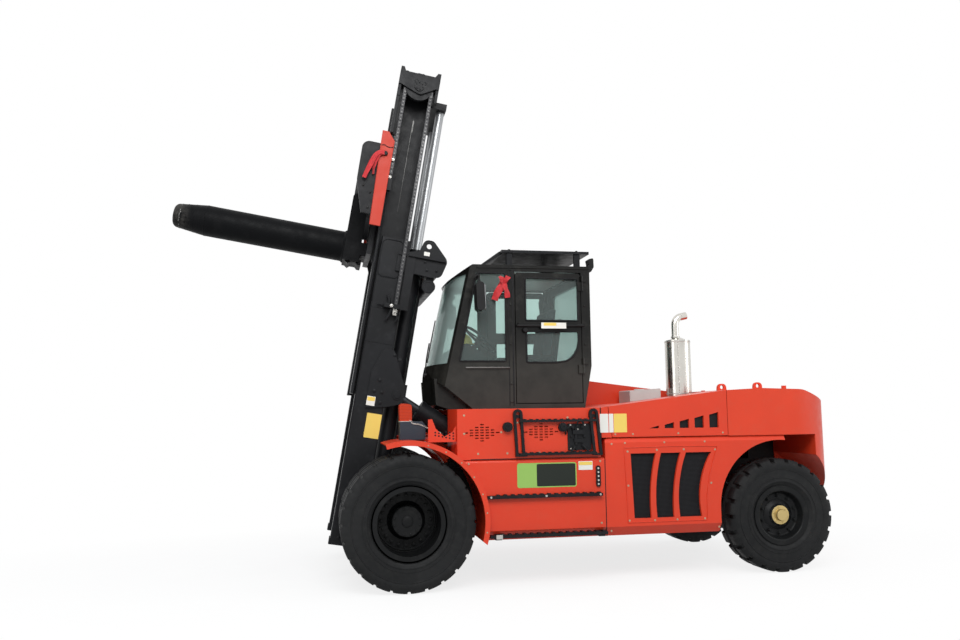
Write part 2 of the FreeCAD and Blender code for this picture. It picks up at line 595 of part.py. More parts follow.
def counterweight():
    """The cast tail: a full-width upper block on a central tongue, with wells for the steered wheels."""
    plan = slab("weight_plan", "XY", [
        (HOOD_REAR, -S.body_half), (HOOD_REAR, S.body_half), (REAR_X, S.body_half, S.weight_corner),
        (REAR_X, -S.body_half, S.weight_corner)], S.weight_bottom - 10, S.weight_top + 40)
    side = slab("weight_side", "XZ", [
        (HOOD_REAR, S.weight_bottom), (HOOD_REAR, S.lid_rear_top), (REAR_X + 890, S.weight_top, 400),
        (REAR_X + 430, S.weight_top - 14, 300), (REAR_X, 1665, 90), (REAR_X, 760, 120),
        (REAR_X + 150, S.weight_bottom, 60)],
        -S.body_half - 10, S.body_half + 10)
    bay = box("weight_bay", (TAIL_X, HOOD_REAR + 10), (-S.body_half - 10, S.body_half + 10),
              (S.weight_bottom - 20, S.panel_top + 2))
    wells = []
    for sign in (1, -1):
        well = rod(f"wheel_well_{sign}", "y", (-S.wheelbase, S.well_inner, S.rear_tyre_radius), S.well_radius,
                   S.body_half)
        wells.append(well if sign > 0 else mirror("wheel_well_right", wells[0]))
    slot = box("tow_slot", (REAR_X - 10, REAR_X + 150), (-90, 90), (S.tow_jaw_low - 140, S.tow_jaw_low))
    pocket = box("tow_pocket", (REAR_X - 10, REAR_X + 150), (-90, 90), (S.tow_jaw_top, S.tow_jaw_top + 110))
    tow_hole = rod("tow_hole", "z", (REAR_X + 75, 0, S.weight_bottom), S.tow_bore,
                   S.tow_jaw_top + 5 - S.weight_bottom)
    block = cut("weight_cut", common("weight_block", plan, side), bay, *wells, slot, pocket, tow_hole)
    eyes = []
    for index, (x, z) in enumerate(((HOOD_REAR - 76, S.lid_rear_top + 4), (REAR_X + 793, S.weight_top - 1))):
        plate = slab(f"lift_eye_{index}", "XZ", [(x - 55, z - 40), (x - 45, z + 66, 40), (x + 45, z + 66, 40),
                                                 (x + 55, z - 40)], 930, 955)
        hole = rod(f"lift_eye_hole_{index}", "y", (x, 925, z + S.lift_eye_rise), 20, 35)
        eye = cut(f"lift_eye_cut_{index}", plate, hole)
        eyes += [eye, mirror(f"lift_eye_right_{index}", eye)]
    stop = box("weight_stop", (REAR_X + 470, REAR_X + 510), (925, 955), (S.weight_top - 40, S.weight_top + 30))
    node("counterweight", fuse("weight_all", block, *eyes, stop, mirror("weight_stop_right", stop)))

# ---------------------------------------------------------------------------------------------------
# Bodywork
# ---------------------------------------------------------------------------------------------------
def fenders():
    """Curved sheet guards over the front wheels, each with a lip turned down along its outer edge."""
    def ring(name, outer, inner, low, high):
        return cut(name, rod(name + "_outer", "y", (0, low, S.front_tyre_radius), outer, sized(high) - low),
                   rod(name + "_inner", "y", (0, low - 1, S.front_tyre_radius), inner, sized(high) - low + 2))
    sheet = ring("fender_sheet", S.fender_radius, S.fender_radius - S.fender_sheet, S.fender_inner, FENDER_OUTER)
    lip = ring("fender_lip", S.fender_radius, S.fender_radius - S.fender_lip,
               FENDER_OUTER - S.fender_sheet, FENDER_OUTER)
    crown = S.front_tyre_radius + S.fender_radius + 20
    sector = slab("fender_sector", "XZ", [(232, crown), (160, 1150), (-300, 860), (-640, 470), (-760, 372),
                                          (-900, 372), (-900, crown)], S.fender_inner - 5, FENDER_OUTER + 5)
    shelf = box("fender_shelf", (S.side_box_front + 8, 60), (S.fender_inner, S.fender_inner + 330),
                (S.front_tyre_radius + S.fender_radius - 22, S.front_tyre_radius + S.fender_radius))
    under = rod("fender_shelf_under", "y", (0, S.fender_inner - 1, S.front_tyre_radius),
                S.fender_radius - 6, 400)
    guard = common("fender_guard", fuse("fender_blank", sheet, lip), sector)
    node("front_fenders", both("fender_pair", fuse("fender", guard, cut("fender_shelf_cut", shelf, under))))


TANK_CHAMFER, TANK_CHAMFER_RISE = 70, 90


def side_tanks():
    """Fuel and hydraulic tanks hung between the wheels, hollowed in front to follow the fender."""
    tank = slab("tank_block", "YZ", [
        (S.rail_outer, S.tank_bottom), (S.body_half - TANK_CHAMFER, S.tank_bottom),
        (S.body_half, S.tank_bottom + TANK_CHAMFER_RISE),
        (S.body_half, S.tank_top, 30), (S.rail_outer, S.tank_top)], S.tank_rear, -480)
    wheel_space = rod("tank_wheel_space", "y", (0, S.rail_outer - 1, S.front_tyre_radius), S.fender_radius,
                      S.body_half)
    lug_space = box("tank_lug_space", (S.tilt_pin_x - 140, -400), (S.rail_outer - 1, S.tilt_y + 76),
                    (S.rail_top - 50, S.tank_top + 1))
    node("side_tanks", both("tank_pair", cut("tank", tank, wheel_space, lug_space)))


def slots(name, centre_x, centre_z, low, high):
    """A diamond of short cooling slots: one in the outer columns and seven in the middle one."""
    pieces = []
    for column in range(-3, 4):
        count = 7 - 2 * abs(column)
        for row in range(count):
            x = centre_x + column * 50
            z = centre_z + (row - (count - 1) / 2) * 25
            pieces.append(box(f"{name}_{column + 3}_{row}", (x - 17, x + 17), (low, high), (z - 5, z + 5)))
    return pieces


def side_boxes():
    """Steel lockers over the tanks that carry the cab, with cooling slots through their outer sheet."""
    front, rear, inner = S.side_box_front, S.side_box_rear, S.side_box_inner
    sheet = 20
    shell = slab("locker_block", "XZ", [(front, S.deck_z - 12), (front, S.floor_z), (rear, S.floor_z),
                                        (rear, S.tank_top), (-560, S.tank_top)], inner, S.body_half)
    hollow = box("locker_hollow", (rear + sheet, front - sheet), (inner + sheet, S.body_half - sheet),
                 (S.deck_z + 20, S.floor_z - sheet))
    wheel_space = rod("locker_wheel_space", "y", (0, inner - 1, S.front_tyre_radius), S.fender_radius,
                      S.body_half)
    tools = slots("slot_front", -690, 1427, S.body_half - sheet - 2, S.body_half + 2)
    tools += slots("slot_rear", -1262, 1427, S.body_half - sheet - 2, S.body_half + 2)
    locker = cut("locker", shell, hollow, wheel_space, group("locker_slots", *tools))
    node("side_boxes", both("locker_pair", locker))


def side_panels():
    """Engine-bay sides: a thick pressed panel with a curved-rib grille and the wheel arch's front half."""
    wall, outer = S.panel_wall, S.body_half
    low = S.tank_bottom
    block = slab("panel_block", "XZ", [(S.panel_front, low), (S.panel_front, S.panel_top, 40),
                                       (ARCH_POST, S.panel_top), (ARCH_POST, 1100), (ARCH_X + 518, 1000),
                                       (ARCH_X + 518, low)],
                 S.rail_outer, outer)
    chamfer_low = slab("panel_chamfer", "YZ", [(outer - 60, low - 5), (outer + 5, low + 95),
                                               (outer + 5, low - 5)],
                       ARCH_POST, S.panel_front + 5)
    chamfer_top = slab("panel_shoulder", "YZ", [(outer - 26, S.panel_top + 5), (outer + 5, S.panel_top + 5),
                                                (outer + 5, S.panel_top - 55)], ARCH_POST - 5, S.panel_front + 5)

    def arch(name, grow, y_low, y_high):
        circle = rod(name + "_circle", "y", (ARCH_X, y_low, S.arch_z), S.arch_radius + grow,
                     sized(y_high) - y_low)
        foot = box(name + "_foot", (ARCH_X - S.arch_radius, ARCH_X + S.arch_radius + grow), (y_low, y_high),
                   (low - 50, S.arch_z))
        return fuse(name, circle, foot)

    arch_tool = arch("arch_tool", 0, S.rail_outer - 5, outer + 5)
    bay_block = box("bay_block", (ARCH_X + 418, S.panel_front - wall), (S.rail_outer - 1, outer - wall),
                    (low + wall, S.panel_top - wall))
    bay = cut("bay", bay_block, arch("arch_liner", wall, S.rail_outer - 5, outer))
    bay_chamfer = slab("bay_chamfer", "YZ", [(outer - 60 - wall, low), (outer - wall + 5, low + 100),
                                             (outer - wall + 5, low)], ARCH_X + 418, S.panel_front)
    openings = grille_openings("grille", outer - wall - 5, outer + 5)
    panel = cut("panel", block, chamfer_low, chamfer_top, arch_tool, cut("bay_space", bay, bay_chamfer),
                *openings)
    node("side_panels", both("panel_pair", panel))


GRILLE_FRONT, GRILLE_REAR, GRILLE_LOW, GRILLE_TOP = -2150, -3040, 588, 1205


def grille_openings(name, low, high, grow=0):
    """Three openings between swept ribs, which bow back towards the top."""
    middle_z = (GRILLE_LOW + GRILLE_TOP) / 2
    openings = []
    edges_low = (-2172, -2345, -2405, -2578, -2640, -2868)
    edges_middle = (-2160, -2350, -2404, -2592, -2640, -2866)
    edges_top = (-2150, -2410, -2462, -2665, -2722, -2990)
    for index in range(3):
        front, rear = 2 * index, 2 * index + 1
        sketch = add("Sketcher::SketchObject", f"{name}_{index}_outline")
        spots = [V(edges_low[front] + grow, GRILLE_LOW - grow, 0),
                 V(edges_top[front] + grow, GRILLE_TOP + grow, 0),
                 V(edges_top[rear] - grow, GRILLE_TOP + grow, 0),
                 V(edges_low[rear] - grow, GRILLE_LOW - grow, 0)]
        bow_front, bow_rear = (V(edges_middle[side] + lean, middle_z, 0)
                               for side, lean in ((front, grow), (rear, -grow)))
        sketch.addGeometry(Part.Arc(spots[0], bow_front, spots[1]) if index else
                           Part.LineSegment(spots[0], spots[1]), False)
        sketch.addGeometry(Part.LineSegment(spots[1], spots[2]), False)
        sketch.addGeometry(Part.Arc(spots[2], bow_rear, spots[3]), False)
        sketch.addGeometry(Part.LineSegment(spots[3], spots[0]), False)
        turn, axis = PLANES["XZ"]
        put(sketch, turn=turn, y=low)
        solid = add("Part::Extrusion", f"{name}_{index}")
        solid.Base, solid.DirMode, solid.Dir, solid.Solid = sketch, "Custom", AXES[axis], True
        bind(solid, "LengthFwd", sized(high) - low)
        openings.append(solid)
    return openings


def grilles():
    """Mesh sheets behind the three grille openings."""
    sheet = box("mesh_sheet", (-3010, -2130), (S.body_half - S.panel_wall - 6, S.body_half - S.panel_wall),
                (GRILLE_LOW - 25, GRILLE_TOP + 25))
    node("side_grilles", both("mesh_pair", sheet))


def hood():
    """The fixed middle of the hood: a low shelf on the left, a raised cowl, and the strip behind the cab."""
    slope = (S.lid_rear_top - S.lid_front_top) / (S.hood_front - HOOD_REAR)
    low = S.panel_top + 4
    def rise(x):
        return S.lid_front_top + slope * (S.hood_front - x)
    side = [(S.hood_front, low), (S.hood_front, rise(S.hood_front)), (HOOD_REAR, rise(HOOD_REAR)),
            (HOOD_REAR, low)]
    edge = S.lid_hinge_y - S.lid_gap
    block = slab("hood_middle", "XZ", side, -edge, edge)
    recess = box("hood_recess", (HOOD_REAR - 5, S.hood_front - 128), (S.cowl_side, edge - 26),
                 (S.shelf_z, S.lid_rear_top + 88))
    middle = cut("hood_shelf", block, recess)
    strip_rear = S.lid_front + S.lid_gap
    strip = slab("hood_strip", "XZ", [(S.hood_front, low), (S.hood_front, rise(S.hood_front), 25),
                                      (strip_rear, rise(strip_rear)),
                                      (strip_rear - slope * (rise(strip_rear) - low), low)],
                 -S.body_half, S.body_half)
    cowl = slab("cowl", "XZ", [(S.cab_rear - 30, low), (S.cab_rear - 30, S.cowl_front_top),
                               (HOOD_REAR, S.cowl_rear_top), (HOOD_REAR, low)], -560, S.cowl_side)
    node("engine_hood", fuse("hood_all", middle, strip, cowl))


def hood_lid(side_name, sign):
    """A gull-wing side of the hood, hinged along its inner edge, with five growing vents."""
    slope = (S.lid_rear_top - S.lid_front_top) / (S.hood_front - HOOD_REAR)
    low, sheet = S.panel_top + S.lid_gap, S.lid_sheet
    front, rear = S.lid_front, HOOD_REAR + S.lid_gap
    def rise(x, drop=0):
        return S.lid_front_top + slope * (S.hood_front - x) - drop
    front_low = front - slope * (rise(front) - low)
    skin = slab(f"lid_skin_{side_name}", "XZ", [(front_low, low), (front, rise(front)), (rear, rise(rear)),
                                                (rear, low)], S.lid_hinge_y, S.body_half)
    space = slab(f"lid_space_{side_name}", "XZ", [
        (front_low - sheet, low - 5), (front - sheet, rise(front - sheet, sheet)),
        (rear + sheet, rise(rear + sheet, sheet)), (rear + sheet, low - 5)],
        S.lid_hinge_y - 5, S.body_half - sheet)
    vents = []
    vent_low, pitch, width = 1443, 157, 98
    for index in range(5):
        x = HOOD_REAR + 826 - index * pitch
        tall_front, tall_rear = 31 * index + 2, 31 * index + 27
        vents.append(slab(f"vent_{side_name}_{index}", "XZ", [
            (x, vent_low), (x, vent_low + tall_front), (x - width, vent_low + tall_rear),
            (x - width, vent_low)],
            S.body_half - sheet - 5, S.body_half + 5))
    left = cut(f"lid_left_{side_name}", skin, space, *vents)
    lid = left if sign > 0 else mirror(f"lid_right_{side_name}", left)
    node(f"hood_lid_{side_name}", group(f"lid_{side_name}", lid))


def steps():
    """Serrated tread bars along the tank, on short brackets."""
    bars = []
    for name, front, rear, z, deep in (("middle", 18 - S.fender_radius, -1845, 835, 48),
                                       ("low", -2 - S.fender_radius, -1880, 478, S.fender_reach - 6)):
        x_limits, y_limits = (rear, front), (S.body_half, S.body_half + deep)
        bar = box(f"step_{name}", x_limits, y_limits, (z - 18, z + 10))
        teeth = [box(f"step_{name}_tooth_{index}", (rear + 20 + index * 70, rear + 50 + index * 70), y_limits,
                     (z + 9, z + 20)) for index in range(15)]
        bars.append(fuse(f"step_{name}_all", bar, *teeth))
    def tank_face(z):
        return S.body_half - TANK_CHAMFER + (z - S.tank_bottom) * TANK_CHAMFER / TANK_CHAMFER_RISE
    hangers = [slab(f"step_hanger_{index}", "YZ", [
        (tank_face(442), 442), (S.body_half + 40, 442), (S.body_half + 40, 470), (tank_face(492), 492)], x, x + 60)
        for index, x in enumerate((-1860, -860))]
    left = group("steps_left", bars[0], fuse("step_low_hung", bars[1], *hangers))
    node("side_steps", both("step_pair", left))


def boarding_frame():
    """Two bent tube stiles with tread bars between them, standing off the locker's face."""
    outer = S.body_half
    def stile(name, x_top, x_low):
        half, thick = 32, 13
        legs = []
        for index, shift in enumerate((-half, half)):
            legs.append(slab(f"{name}_leg_{index}", "XZ", [
                (x_top + shift - thick, 1600), (x_top + shift + thick, 1600), (x_low + shift + thick, 1215),
                (x_low + shift - thick, 1215)], outer + 14, outer + 40))
        bow = cut(name + "_bow_cut", rod(name + "_bow_outer", "y", (x_top, outer + 14, 1598), half + thick, 26),
                  rod(name + "_bow_inner", "y", (x_top, outer + 10, 1598), half - thick, 34),
                  box(name + "_bow_under", (x_top - 80, x_top + 80), (outer, outer + 60), (1500, 1598)))
        feet = box(name + "_foot", (x_low - half - thick, x_low + half + thick), (outer, outer + 40), (1200, 1218))
        mount = box(name + "_mount", (x_top - half - 10, x_top + half + 10), (outer, outer + 20), (1560, 1590))
        return [*legs, bow, feet, mount]
    front, rear = stile("stile_front", -1029, -1050), stile("stile_rear", -1775, -1810)
    rungs = []
    for index, z in enumerate((1534, 1224)):
        bar = box(f"rung_{index}", (-1800, -1040), (outer + 8, outer + 46), (z - 14, z + 8))
        teeth = [box(f"rung_{index}_tooth_{step}", (-1770 + step * 60, -1745 + step * 60), (outer + 8, outer + 46),
                     (z + 7, z + 16)) for step in range(12)]
        rungs += [bar, *teeth]
    pads = [box("rung_pad_low", (-1120, -1080), (outer, outer + 20), (1200, 1226)),
            box("rung_pad_top", (-1120, -1080), (outer, outer + 20), (1520, 1540))]
    node("boarding_frame", group("boarding_group", fuse("boarding_left", *front, *rear, *rungs, *pads)))


def valve_block():
    """The hydraulic filter and valve stack bolted to the locker behind the boarding frame."""
    outer = S.body_half
    front_cup = rod("cup_front", "y", (-930, outer, 1478), 46, 40)
    rear_cup = rod("cup_rear", "y", (-1470, outer, 1468), 42, 36)
    body = box("valve_body", (-1755, -1520), (outer, outer + 12), (1250, 1500))
    spool = rod("valve_spool", "z", (-1600, outer + 16, 1300), 14, 170)
    node("control_valve", group("valve_group", front_cup, rear_cup, fuse("valve_all", body, spool)))


def lamps():
    """Turn lamps on box posts over the front guards."""
    deck = S.front_tyre_radius + S.fender_radius
    post = slab("lamp_post", "XZ", [(-180, deck), (-180, 1500), (-150, 1538), (62, 1538), (62, deck)], 880, 1020)
    node("lamp_posts", both("lamp_post_pair", post))
    lens = slab("lamp_lens", "XZ", [(-52, 1538), (-52, 1700, 30), (70, 1712, 30), (62, 1538)], 895, 1005)
    node("turn_lamps", both("lamp_lens_pair", lens))


def exhaust():
    """An upright muffler in a rolled heat shield, with a bent outlet pipe, and the intake box beside it."""
    x, y, low = HOOD_REAR + 156, 420, S.muffler_z
    profile_height = 602
    shell = rod("muffler_shell", "z", (x, y, low), 136, profile_height)
    foot = rod("muffler_foot", "z", (x, y, S.shelf_z), 70, low - S.shelf_z + 5)
    neck = cone("muffler_neck", "z", (x, y, low + profile_height), 120, 45, 30)
    pipe = rod("outlet_pipe", "z", (x + 20, y, low + profile_height + 10), 40, 165)
    bend = add("Part::Torus", "outlet_bend")
    bend.Radius1, bend.Radius2 = 90, 40
    bend.Angle3 = 78
    put(bend, x - 70, y, low + profile_height + 175, turn=FreeCAD.Rotation(V(1, 0, 0), 90))
    swing = math.radians(78)
    tip = add("Part::Cylinder", "outlet_tip")
    tip.Radius, tip.Height = 40, 60
    put(tip, x - 70 + 90 * math.cos(swing), y, low + profile_height + 175 + 90 * math.sin(swing),
        FreeCAD.Rotation(V(0, 0, 1), V(-math.sin(swing), 0, math.cos(swing))))
    node("exhaust_muffler", fuse("exhaust_all", shell, foot, neck, pipe, bend, tip))
    front, rear = HOOD_REAR + 740, HOOD_REAR + 390
    node("air_box", group("air_box_group", slab("air_box_body", "XZ", [
        (front, S.shelf_z), (front, 1832, 12), (rear, 1852, 12), (rear, S.shelf_z)], 140, 470)))


# ---------------------------------------------------------------------------------------------------
# Cab
# ---------------------------------------------------------------------------------------------------
def cab_block(name, inset):
    """The cab's outer form drawn inset by a distance: an upright profile with a bowed, raked front."""
    i = sized(inset)
    side = slab(name + "_side", "XZ", [
        (-1850 + i, S.floor_z + i), (-690 - i * 0.6, S.floor_z + i), (-325 - i, 1945 + i * 0.4, 90),
        (-300 - i, 2080), (-480 - i, 2990 - i * 0.3, 80), (-700 - i * 0.5, S.cab_top - i),
        (S.cab_rear + i, S.cab_top - i, 30), (S.cab_rear + i, 2078)], i - S.cab_half, S.cab_half - i)
    bow_radius = (S.cab_half * S.cab_half + S.cab_bow * S.cab_bow) / (2 * S.cab_bow)
    bow = add("Part::Cylinder", name + "_bow")
    bind(bow, "Radius", bow_radius - i)
    below, reach = 300, 900
    bind(bow, "Height", 2400 + sized(reach))
    put(bow, S.cab_nose - bow_radius + (below + reach) * sine(S.cab_rake), 0,
        S.floor_z - below - reach * cosine(S.cab_rake), FreeCAD.Rotation(V(0, -1, 0), S.cab_rake.value))
    bind(bow, "Placement.Rotation.Angle", S.cab_rake)
    return common(name, side, bow)


def cab_windows():
    """The four window openings that aren't in a door, as solids that cut the walls and trim the glass."""
    screen_half, back_half = S.cab_half - 50, S.cab_half - 190
    screen = box("window_front", (-1000, -100), (-screen_half, screen_half), (S.cab_sill, 3012))
    quarter = slab("window_side", "XZ", [(-548, S.cab_sill + 8, 20), (-734, 3030, 20), (-1040, 3030, 20),
                                         (-1040, S.cab_sill + 8, 20)], -S.cab_half - 20, S.cab_half + 20)
    back = slab("window_rear", "YZ", [(-back_half, 2150, 60), (back_half, 2150, 60), (back_half, 2960, 60),
                                      (-back_half, 2960, 60)], S.cab_rear - 60, S.cab_rear + 90)
    return [screen, quarter, back]


def cab():
    """A hollow steel cab with its roof as its own pressing, panes set into the walls and two doors."""
    windows = cab_windows()
    outside, inside = cab_block("cab_outside", 0), cab_block("cab_inside", S.cab_wall)
    doorway = [box(f"doorway_{sign}", (S.door_rear, S.door_front),
                   (S.cab_half - 150, S.cab_half + 20) if sign > 0 else (-S.cab_half - 20, 150 - S.cab_half),
                   (S.door_bottom - S.door_gap, S.door_top + S.door_gap)) for sign in (1, -1)]
    shell = cut("cab_walls", outside, inside, *windows, *doorway)
    above = box("roof_space", (S.cab_rear - 670, 0), (-S.cab_half - 250, S.cab_half + 250),
                (S.roof_split, S.cab_top + 290))
    walls = cut("cab_lower", shell, above)
    hinges = []
    axis_x, axis_y = S.door_rear - 4, S.cab_half + S.hinge_out
    for index, z in enumerate((2000, 2850)):
        knuckle_pin = rod(f"frame_hinge_{index}", "z", (axis_x, axis_y, z + 96), 14, 60)
        leaf = box(f"frame_leaf_{index}", (axis_x - 50, axis_x), (S.cab_half, axis_y + 4), (z + 96, z + 156))
        hinges += [knuckle_pin, leaf]
    left_hinges = fuse("frame_hinges", *hinges)
    floor, chin_half, sheet = S.floor_z, S.cab_half - 190, 30
    chin = slab("chin_outside", "XZ", [(-700, floor), (-480, floor), (-345, 1695), (-325, 1960), (-700, 1960)],
                -chin_half, chin_half)
    chin_space = slab("chin_inside", "XZ", [(-660, floor - 5), (-520, floor - 5), (-490, floor + 30), (-377, 1718),
                                            (-358, 1930), (-660, 1930)], sheet - chin_half, chin_half - sheet)
    apron = cut("chin", chin, chin_space, inside)
    node("cab_shell", fuse("cab_shell_all", walls, apron, left_hinges, mirror("frame_hinges_right", left_hinges)))
    node("cab_roof", common("cab_roof_all", shell, above))
    pane_outside = cab_block("pane_outside", S.glass_inset)
    pane_inside = cab_block("pane_inside", S.glass_inset + S.glass_thick)
    sheet = cut("pane_sheet", pane_outside, pane_inside)
    node("cab_glass", group("cab_panes", *[common(f"pane_{index}", sheet, window)
                                           for index, window in enumerate(windows)]))


def door(side_name, sign):
    """A cab door with two windows, hinged on its rear edge, and its panes."""
    front, rear = S.door_front - S.door_gap, S.door_rear + S.door_gap
    inner, outer = S.cab_half - S.cab_wall, S.cab_half
    panel = slab(f"door_panel_{side_name}", "XZ", [(rear, S.door_bottom), (front, S.door_bottom),
                                                   (front, S.door_top, 30),
                                                   (rear, S.door_top, 30)], inner, outer)
    shapes = [[(-1800, 2540, 15), (-1240, 2540, 15), (-1240, 2980, 15), (-1800, 2980, 15)],
              [(-1798, 2112, 240), (-1245, 2112, 15), (-1245, 2432, 15), (-1798, 2432, 15)]]
    openings = [slab(f"door_window_{side_name}_{index}", "XZ", corners, inner - 5, outer + 5)
                for index, corners in enumerate(shapes)]
    bar = box(f"door_bar_{side_name}", (rear + 15, front - 20), (outer, outer + 26), (2474, 2516))
    axis_x, axis_y = S.door_rear - 4, outer + S.hinge_out
    hinges = []
    for index, z in enumerate((2000, 2850)):
        hinges.append(rod(f"door_hinge_{side_name}_{index}", "z", (axis_x, axis_y, z), 14, 90))
        hinges.append(box(f"door_leaf_{side_name}_{index}", (axis_x + 9, rear + 40), (outer, axis_y + 4),
                          (z, z + 90)))
    left = fuse(f"door_left_{side_name}", cut(f"door_cut_{side_name}", panel, *openings), bar, *hinges)
    sheet = box(f"door_sheet_{side_name}", (rear, front),
                (outer - S.glass_inset - S.glass_thick, outer - S.glass_inset), (S.door_bottom, S.door_top))
    panes = group(f"door_panes_{side_name}", *[common(f"door_pane_{side_name}_{index}", sheet, opening)
                                               for index, opening in enumerate(openings)])
    for name, piece in (("cab_door", left), ("door_glass", panes)):
        whole = piece if sign > 0 else mirror(f"{name}_mirrored_{side_name}", piece)
        node(f"{name}_{side_name}", group(f"{name}_set_{side_name}", whole))


def roof_guard():
    """The falling-object guard: a flat plate on four posts with a slanted shield in front."""
    half, post_y = S.cab_half - 60, S.cab_half - 110
    plate = box("guard_plate", (-1950, -1015), (-half, half), (S.guard_z, S.guard_z + 28))
    shield = slab("guard_shield", "XZ", [(-778, S.cab_top), (-812, S.cab_top), (-1040, S.guard_z),
                                         (-1030, S.guard_z + 24), (-1005, S.guard_z + 24)], 90 - half, half - 90)
    posts = [box(f"guard_post_{index}", (x, x + 62), (post_y, post_y + 34), (S.cab_top, S.guard_z + 2))
             for index, x in enumerate((-1130, -1855))]
    posts += [mirror(f"guard_post_right_{index}", post) for index, post in enumerate(posts)]
    node("roof_guard", fuse("guard_all", plate, shield, *posts))


def cab_inside():
    """What shows through the glass: seat, pads, console and steering wheel."""
    floor = S.floor_z + S.cab_wall
    pedestal = slab("seat_pedestal", "XZ", [(-1620, floor), (-1240, floor), (-1200, 1985), (-1660, 1985)],
                    -225, 225)
    frame = slab("seat_frame", "XZ", [(-1690, 1960, 20), (-1655, 1960, 20), (-1745, 2620, 15), (-1780, 2620, 15)],
                 -210, 210)
    arms = [box(f"seat_arm_{sign}", (-1660, -1320), (232, 276) if sign > 0 else (-276, -232), (2180, 2225))
            for sign in (1, -1)]
    props = [box(f"seat_arm_prop_{sign}", (-1660, -1600), (218, 255) if sign > 0 else (-255, -218), (1960, 2190))
             for sign in (1, -1)]
    node("seat_frame", fuse("seat_all", pedestal, frame, *arms, *props))
    cushion = slab("seat_cushion", "XZ", [(-1600, 1986, 20), (-1150, 1986, 40), (-1140, 2100, 50),
                                          (-1580, 2090, 30)], -225, 225)
    back = slab("seat_back", "XZ", [(-1640, 2110, 30), (-1540, 2110, 40), (-1610, 2730, 50), (-1730, 2730, 50)],
                -215, 215)
    node("seat_pads", group("seat_pad_pair", cushion, back))
    dash = slab("dash", "XZ", [(-730, floor), (-470, 1980), (-500, 2120, 30), (-560, 2290, 40), (-690, 2335, 40),
                               (-860, 2230, 30), (-860, 2060), (-780, 1980), (-780, floor)], -430, 430)
    tilt = FreeCAD.Rotation(V(0, 1, 0), -40)
    centre = V(-915, 0, 2410)
    column = add("Part::Box", "column")
    column.Length, column.Width, column.Height = 56, 90, 260
    column.Placement = FreeCAD.Placement(centre + tilt.multVec(V(-28, -45, -26 - 260)), tilt)
    node("dash_console", fuse("dash_all", dash, column))
    wheel = add("Part::Torus", "wheel_rim")
    wheel.Radius1, wheel.Radius2 = 205, 15
    wheel.Placement = FreeCAD.Placement(centre, tilt)
    hub = add("Part::Cylinder", "wheel_hub")
    hub.Radius, hub.Height = 45, 40
    hub.Placement = FreeCAD.Placement(centre + tilt.multVec(V(0, 0, -26)), tilt)
    spokes = []
    for index in range(3):
        spoke = add("Part::Box", f"wheel_spoke_{index}")
        spoke.Length, spoke.Width, spoke.Height = 180, 26, 12
        turn = tilt.multiply(FreeCAD.Rotation(V(0, 0, 1), 90 + 120 * index))
        spoke.Placement = FreeCAD.Placement(centre + turn.multVec(V(20, -13, -8)), turn)
        spokes.append(spoke)
    node("steering_wheel", fuse("steering_wheel_all", wheel, hub, *spokes))


def mirrors():
    """Rear-view mirrors on bent arms from the front pillars."""
    head = slab("mirror_head", "XZ", [(-785, 2620, 35), (-700, 2610, 35), (-690, 2895, 35), (-770, 2900, 35)],
                S.cab_half + 80, S.cab_half + 235)
    stem = rod("mirror_stem", "z", (-735, S.cab_half + 150, 2880), 10, 100)
    arm = rod("mirror_arm", "y", (-735, S.cab_half, 2972), 12, 162)
    node("mirrors", both("mirror_pair", fuse("mirror", head, stem, arm)))


def work_lamps():
    """Rear work lamps on the cab's roof edge."""
    lamp = slab("work_lamp", "XZ", [(S.cab_rear, 3070), (S.cab_rear, 3096), (-1960, 3150), (-1950, 3205, 10),
                                    (-2000, 3215, 10), (-2005, 3120, 10), (-1975, 3070)],
                S.cab_half - 190, S.cab_half - 70)
    node("work_lamps", both("work_lamp_pair", lamp))


